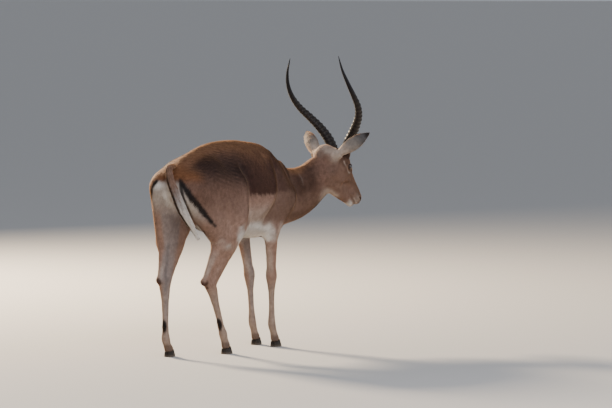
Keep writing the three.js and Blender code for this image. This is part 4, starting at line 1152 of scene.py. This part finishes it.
def locks(name, stations, width, colour, places):
    """Joined bent locks: each is a three-sided spike through its stations, closed at both ends."""
    stations = np.array(stations)
    steps, count = len(stations), len(stations[0])
    along = np.gradient(stations, axis=0)
    along /= np.linalg.norm(along, axis=2)[..., None] + 1e-12
    across = np.cross(along, rng.normal(0, 1, (count, 3))[None])
    across /= np.linalg.norm(across, axis=2)[..., None] + 1e-12
    other = np.cross(along, across)
    taper = (1 - np.linspace(0, 1, steps) ** 1.8) * 0.9 + 0.1
    verts = []
    for k in range(3):
        turn = 2 * math.pi * k / 3
        verts.append(stations + (across * math.cos(turn) + other * math.sin(turn))
                     * (taper[:, None] * np.broadcast_to(width, count))[..., None] / 2)
    corners = np.stack(verts, 2).transpose(1, 0, 2, 3).reshape(count, -1, 3)
    walls = tube_faces(steps - 1, 3)
    shape = [(a, b, c) for a, b, c, _ in walls] + [(a, c, d) for a, _, c, d in walls]
    shape = np.array(shape + [(0, 2, 1), (3 * steps - 3, 3 * steps - 2, 3 * steps - 1)])
    patch = np.stack([np.tile((0, 0.5, 1), steps), np.repeat(np.linspace(0, 1, steps), 3)], 1)
    shades = np.repeat(np.linspace(SHADE_ROOT, SHADE_TIP, steps), 3)
    hair_piece(name, corners, shape, places, patch, colour[:, None] * shades[None, :, None])


turn = np.linspace(0, 2 * np.pi, DOCK_SIDES, endpoint=False)
tail = lofted("tail_dock", [on_tail(np.full(DOCK_SIDES, t), turn, DOCK_SHARE) for t in tail_steps[:-1]])
t_dock, turn_dock = np.repeat(tail_steps[:-1], DOCK_SIDES), np.tile(turn, TAIL_STEPS - 1)
paint(tail, tail_colour(t_dock, turn_dock))
tail.data.materials.append(skin_material)
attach(tail, "root")
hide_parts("tail")

# Each lock starts a little inside the dock and has stations along its length, further and further out.
LOCK_STATIONS = ((0, 0), (0.3, 0.55), (0.65, 0.9), (1.0, 1.0))
ROOT_SHARE = DOCK_SHARE * 0.9
LOCK_RUN, LOCK_MORE = 0.06, 0.13  # shares of the tail: a lock at its root, and how much longer beyond
t_root = rng.random(LOCKS) ** 0.9 * 0.98
turn = rng.uniform(-np.pi, np.pi, LOCKS)
run = LOCK_RUN + LOCK_MORE * smooth(0.1, 0.6, t_root) + rng.normal(0, 0.015, LOCKS)
stations = [on_tail(t_root + run * f, turn + 0.10 * f * rng.normal(0, 1, LOCKS),
                    ROOT_SHARE + (HAIR_SHARE - ROOT_SHARE) * out + 0.04 * f * rng.normal(0, 1, LOCKS))
            for f, out in LOCK_STATIONS]
colour = tail_colour(t_root + run * 0.4 + rng.normal(0, 0.05, LOCKS), turn)
colour *= (1 + rng.normal(0, 0.16, LOCKS))[:, None]
places = np.stack([0.02 + 0.95 * t_root, 0.02 + 0.95 * (turn / 2 / np.pi + 0.5)], 1)
locks("tail_hair", stations, LOCK_WIDTH * (0.8 + 0.5 * rng.random(LOCKS)), colour, places)

# ---------------------------------------------------------------- hair of the ears
# The ears are furred like the body but finer, with longer white hair that stands up inside their
# rims. It grows from the leaves made above and is made last, after all the other hair.
EAR_SPACING, EAR_HAIR_WIDTH = 0.0017, 0.0012
EAR_HAIR, LINING_MORE = 0.0055, 0.008

for name, (root, points_to, opens) in EARS.items():
    leaf = bpy.data.objects[name + "_leaf"]
    spots, turned = scattered(leaf, lambda p: np.full(len(p), EAR_SPACING))
    axis = unit(points_to)
    t = (spots - on_head(root)[0]) @ axis / EAR_LENGTH
    inside = smooth(0.05, 0.45, turned @ unit(opens))
    lie_ear = axis + 0.25 * turned * inside[:, None] + rng.normal(0, 0.12, spots.shape)
    lie_ear -= turned * (lie_ear * turned).sum(1)[:, None]
    lie_ear /= np.linalg.norm(lie_ear, axis=1)[:, None]
    length = EAR_HAIR + LINING_MORE * inside * smooth(0.02, 0.2, t) * fade(0.6, 0.95, t)
    length *= 0.8 + 0.4 * rng.random(len(t))
    colour = ear_colour(spots, turned, name) * (1 + rng.normal(0, 0.08, len(t)))[:, None]
    tufted(f"coat_{name}", spots, turned, lie_ear, length, EAR_HAIR_WIDTH, 0.14 + 0.25 * inside, colour)
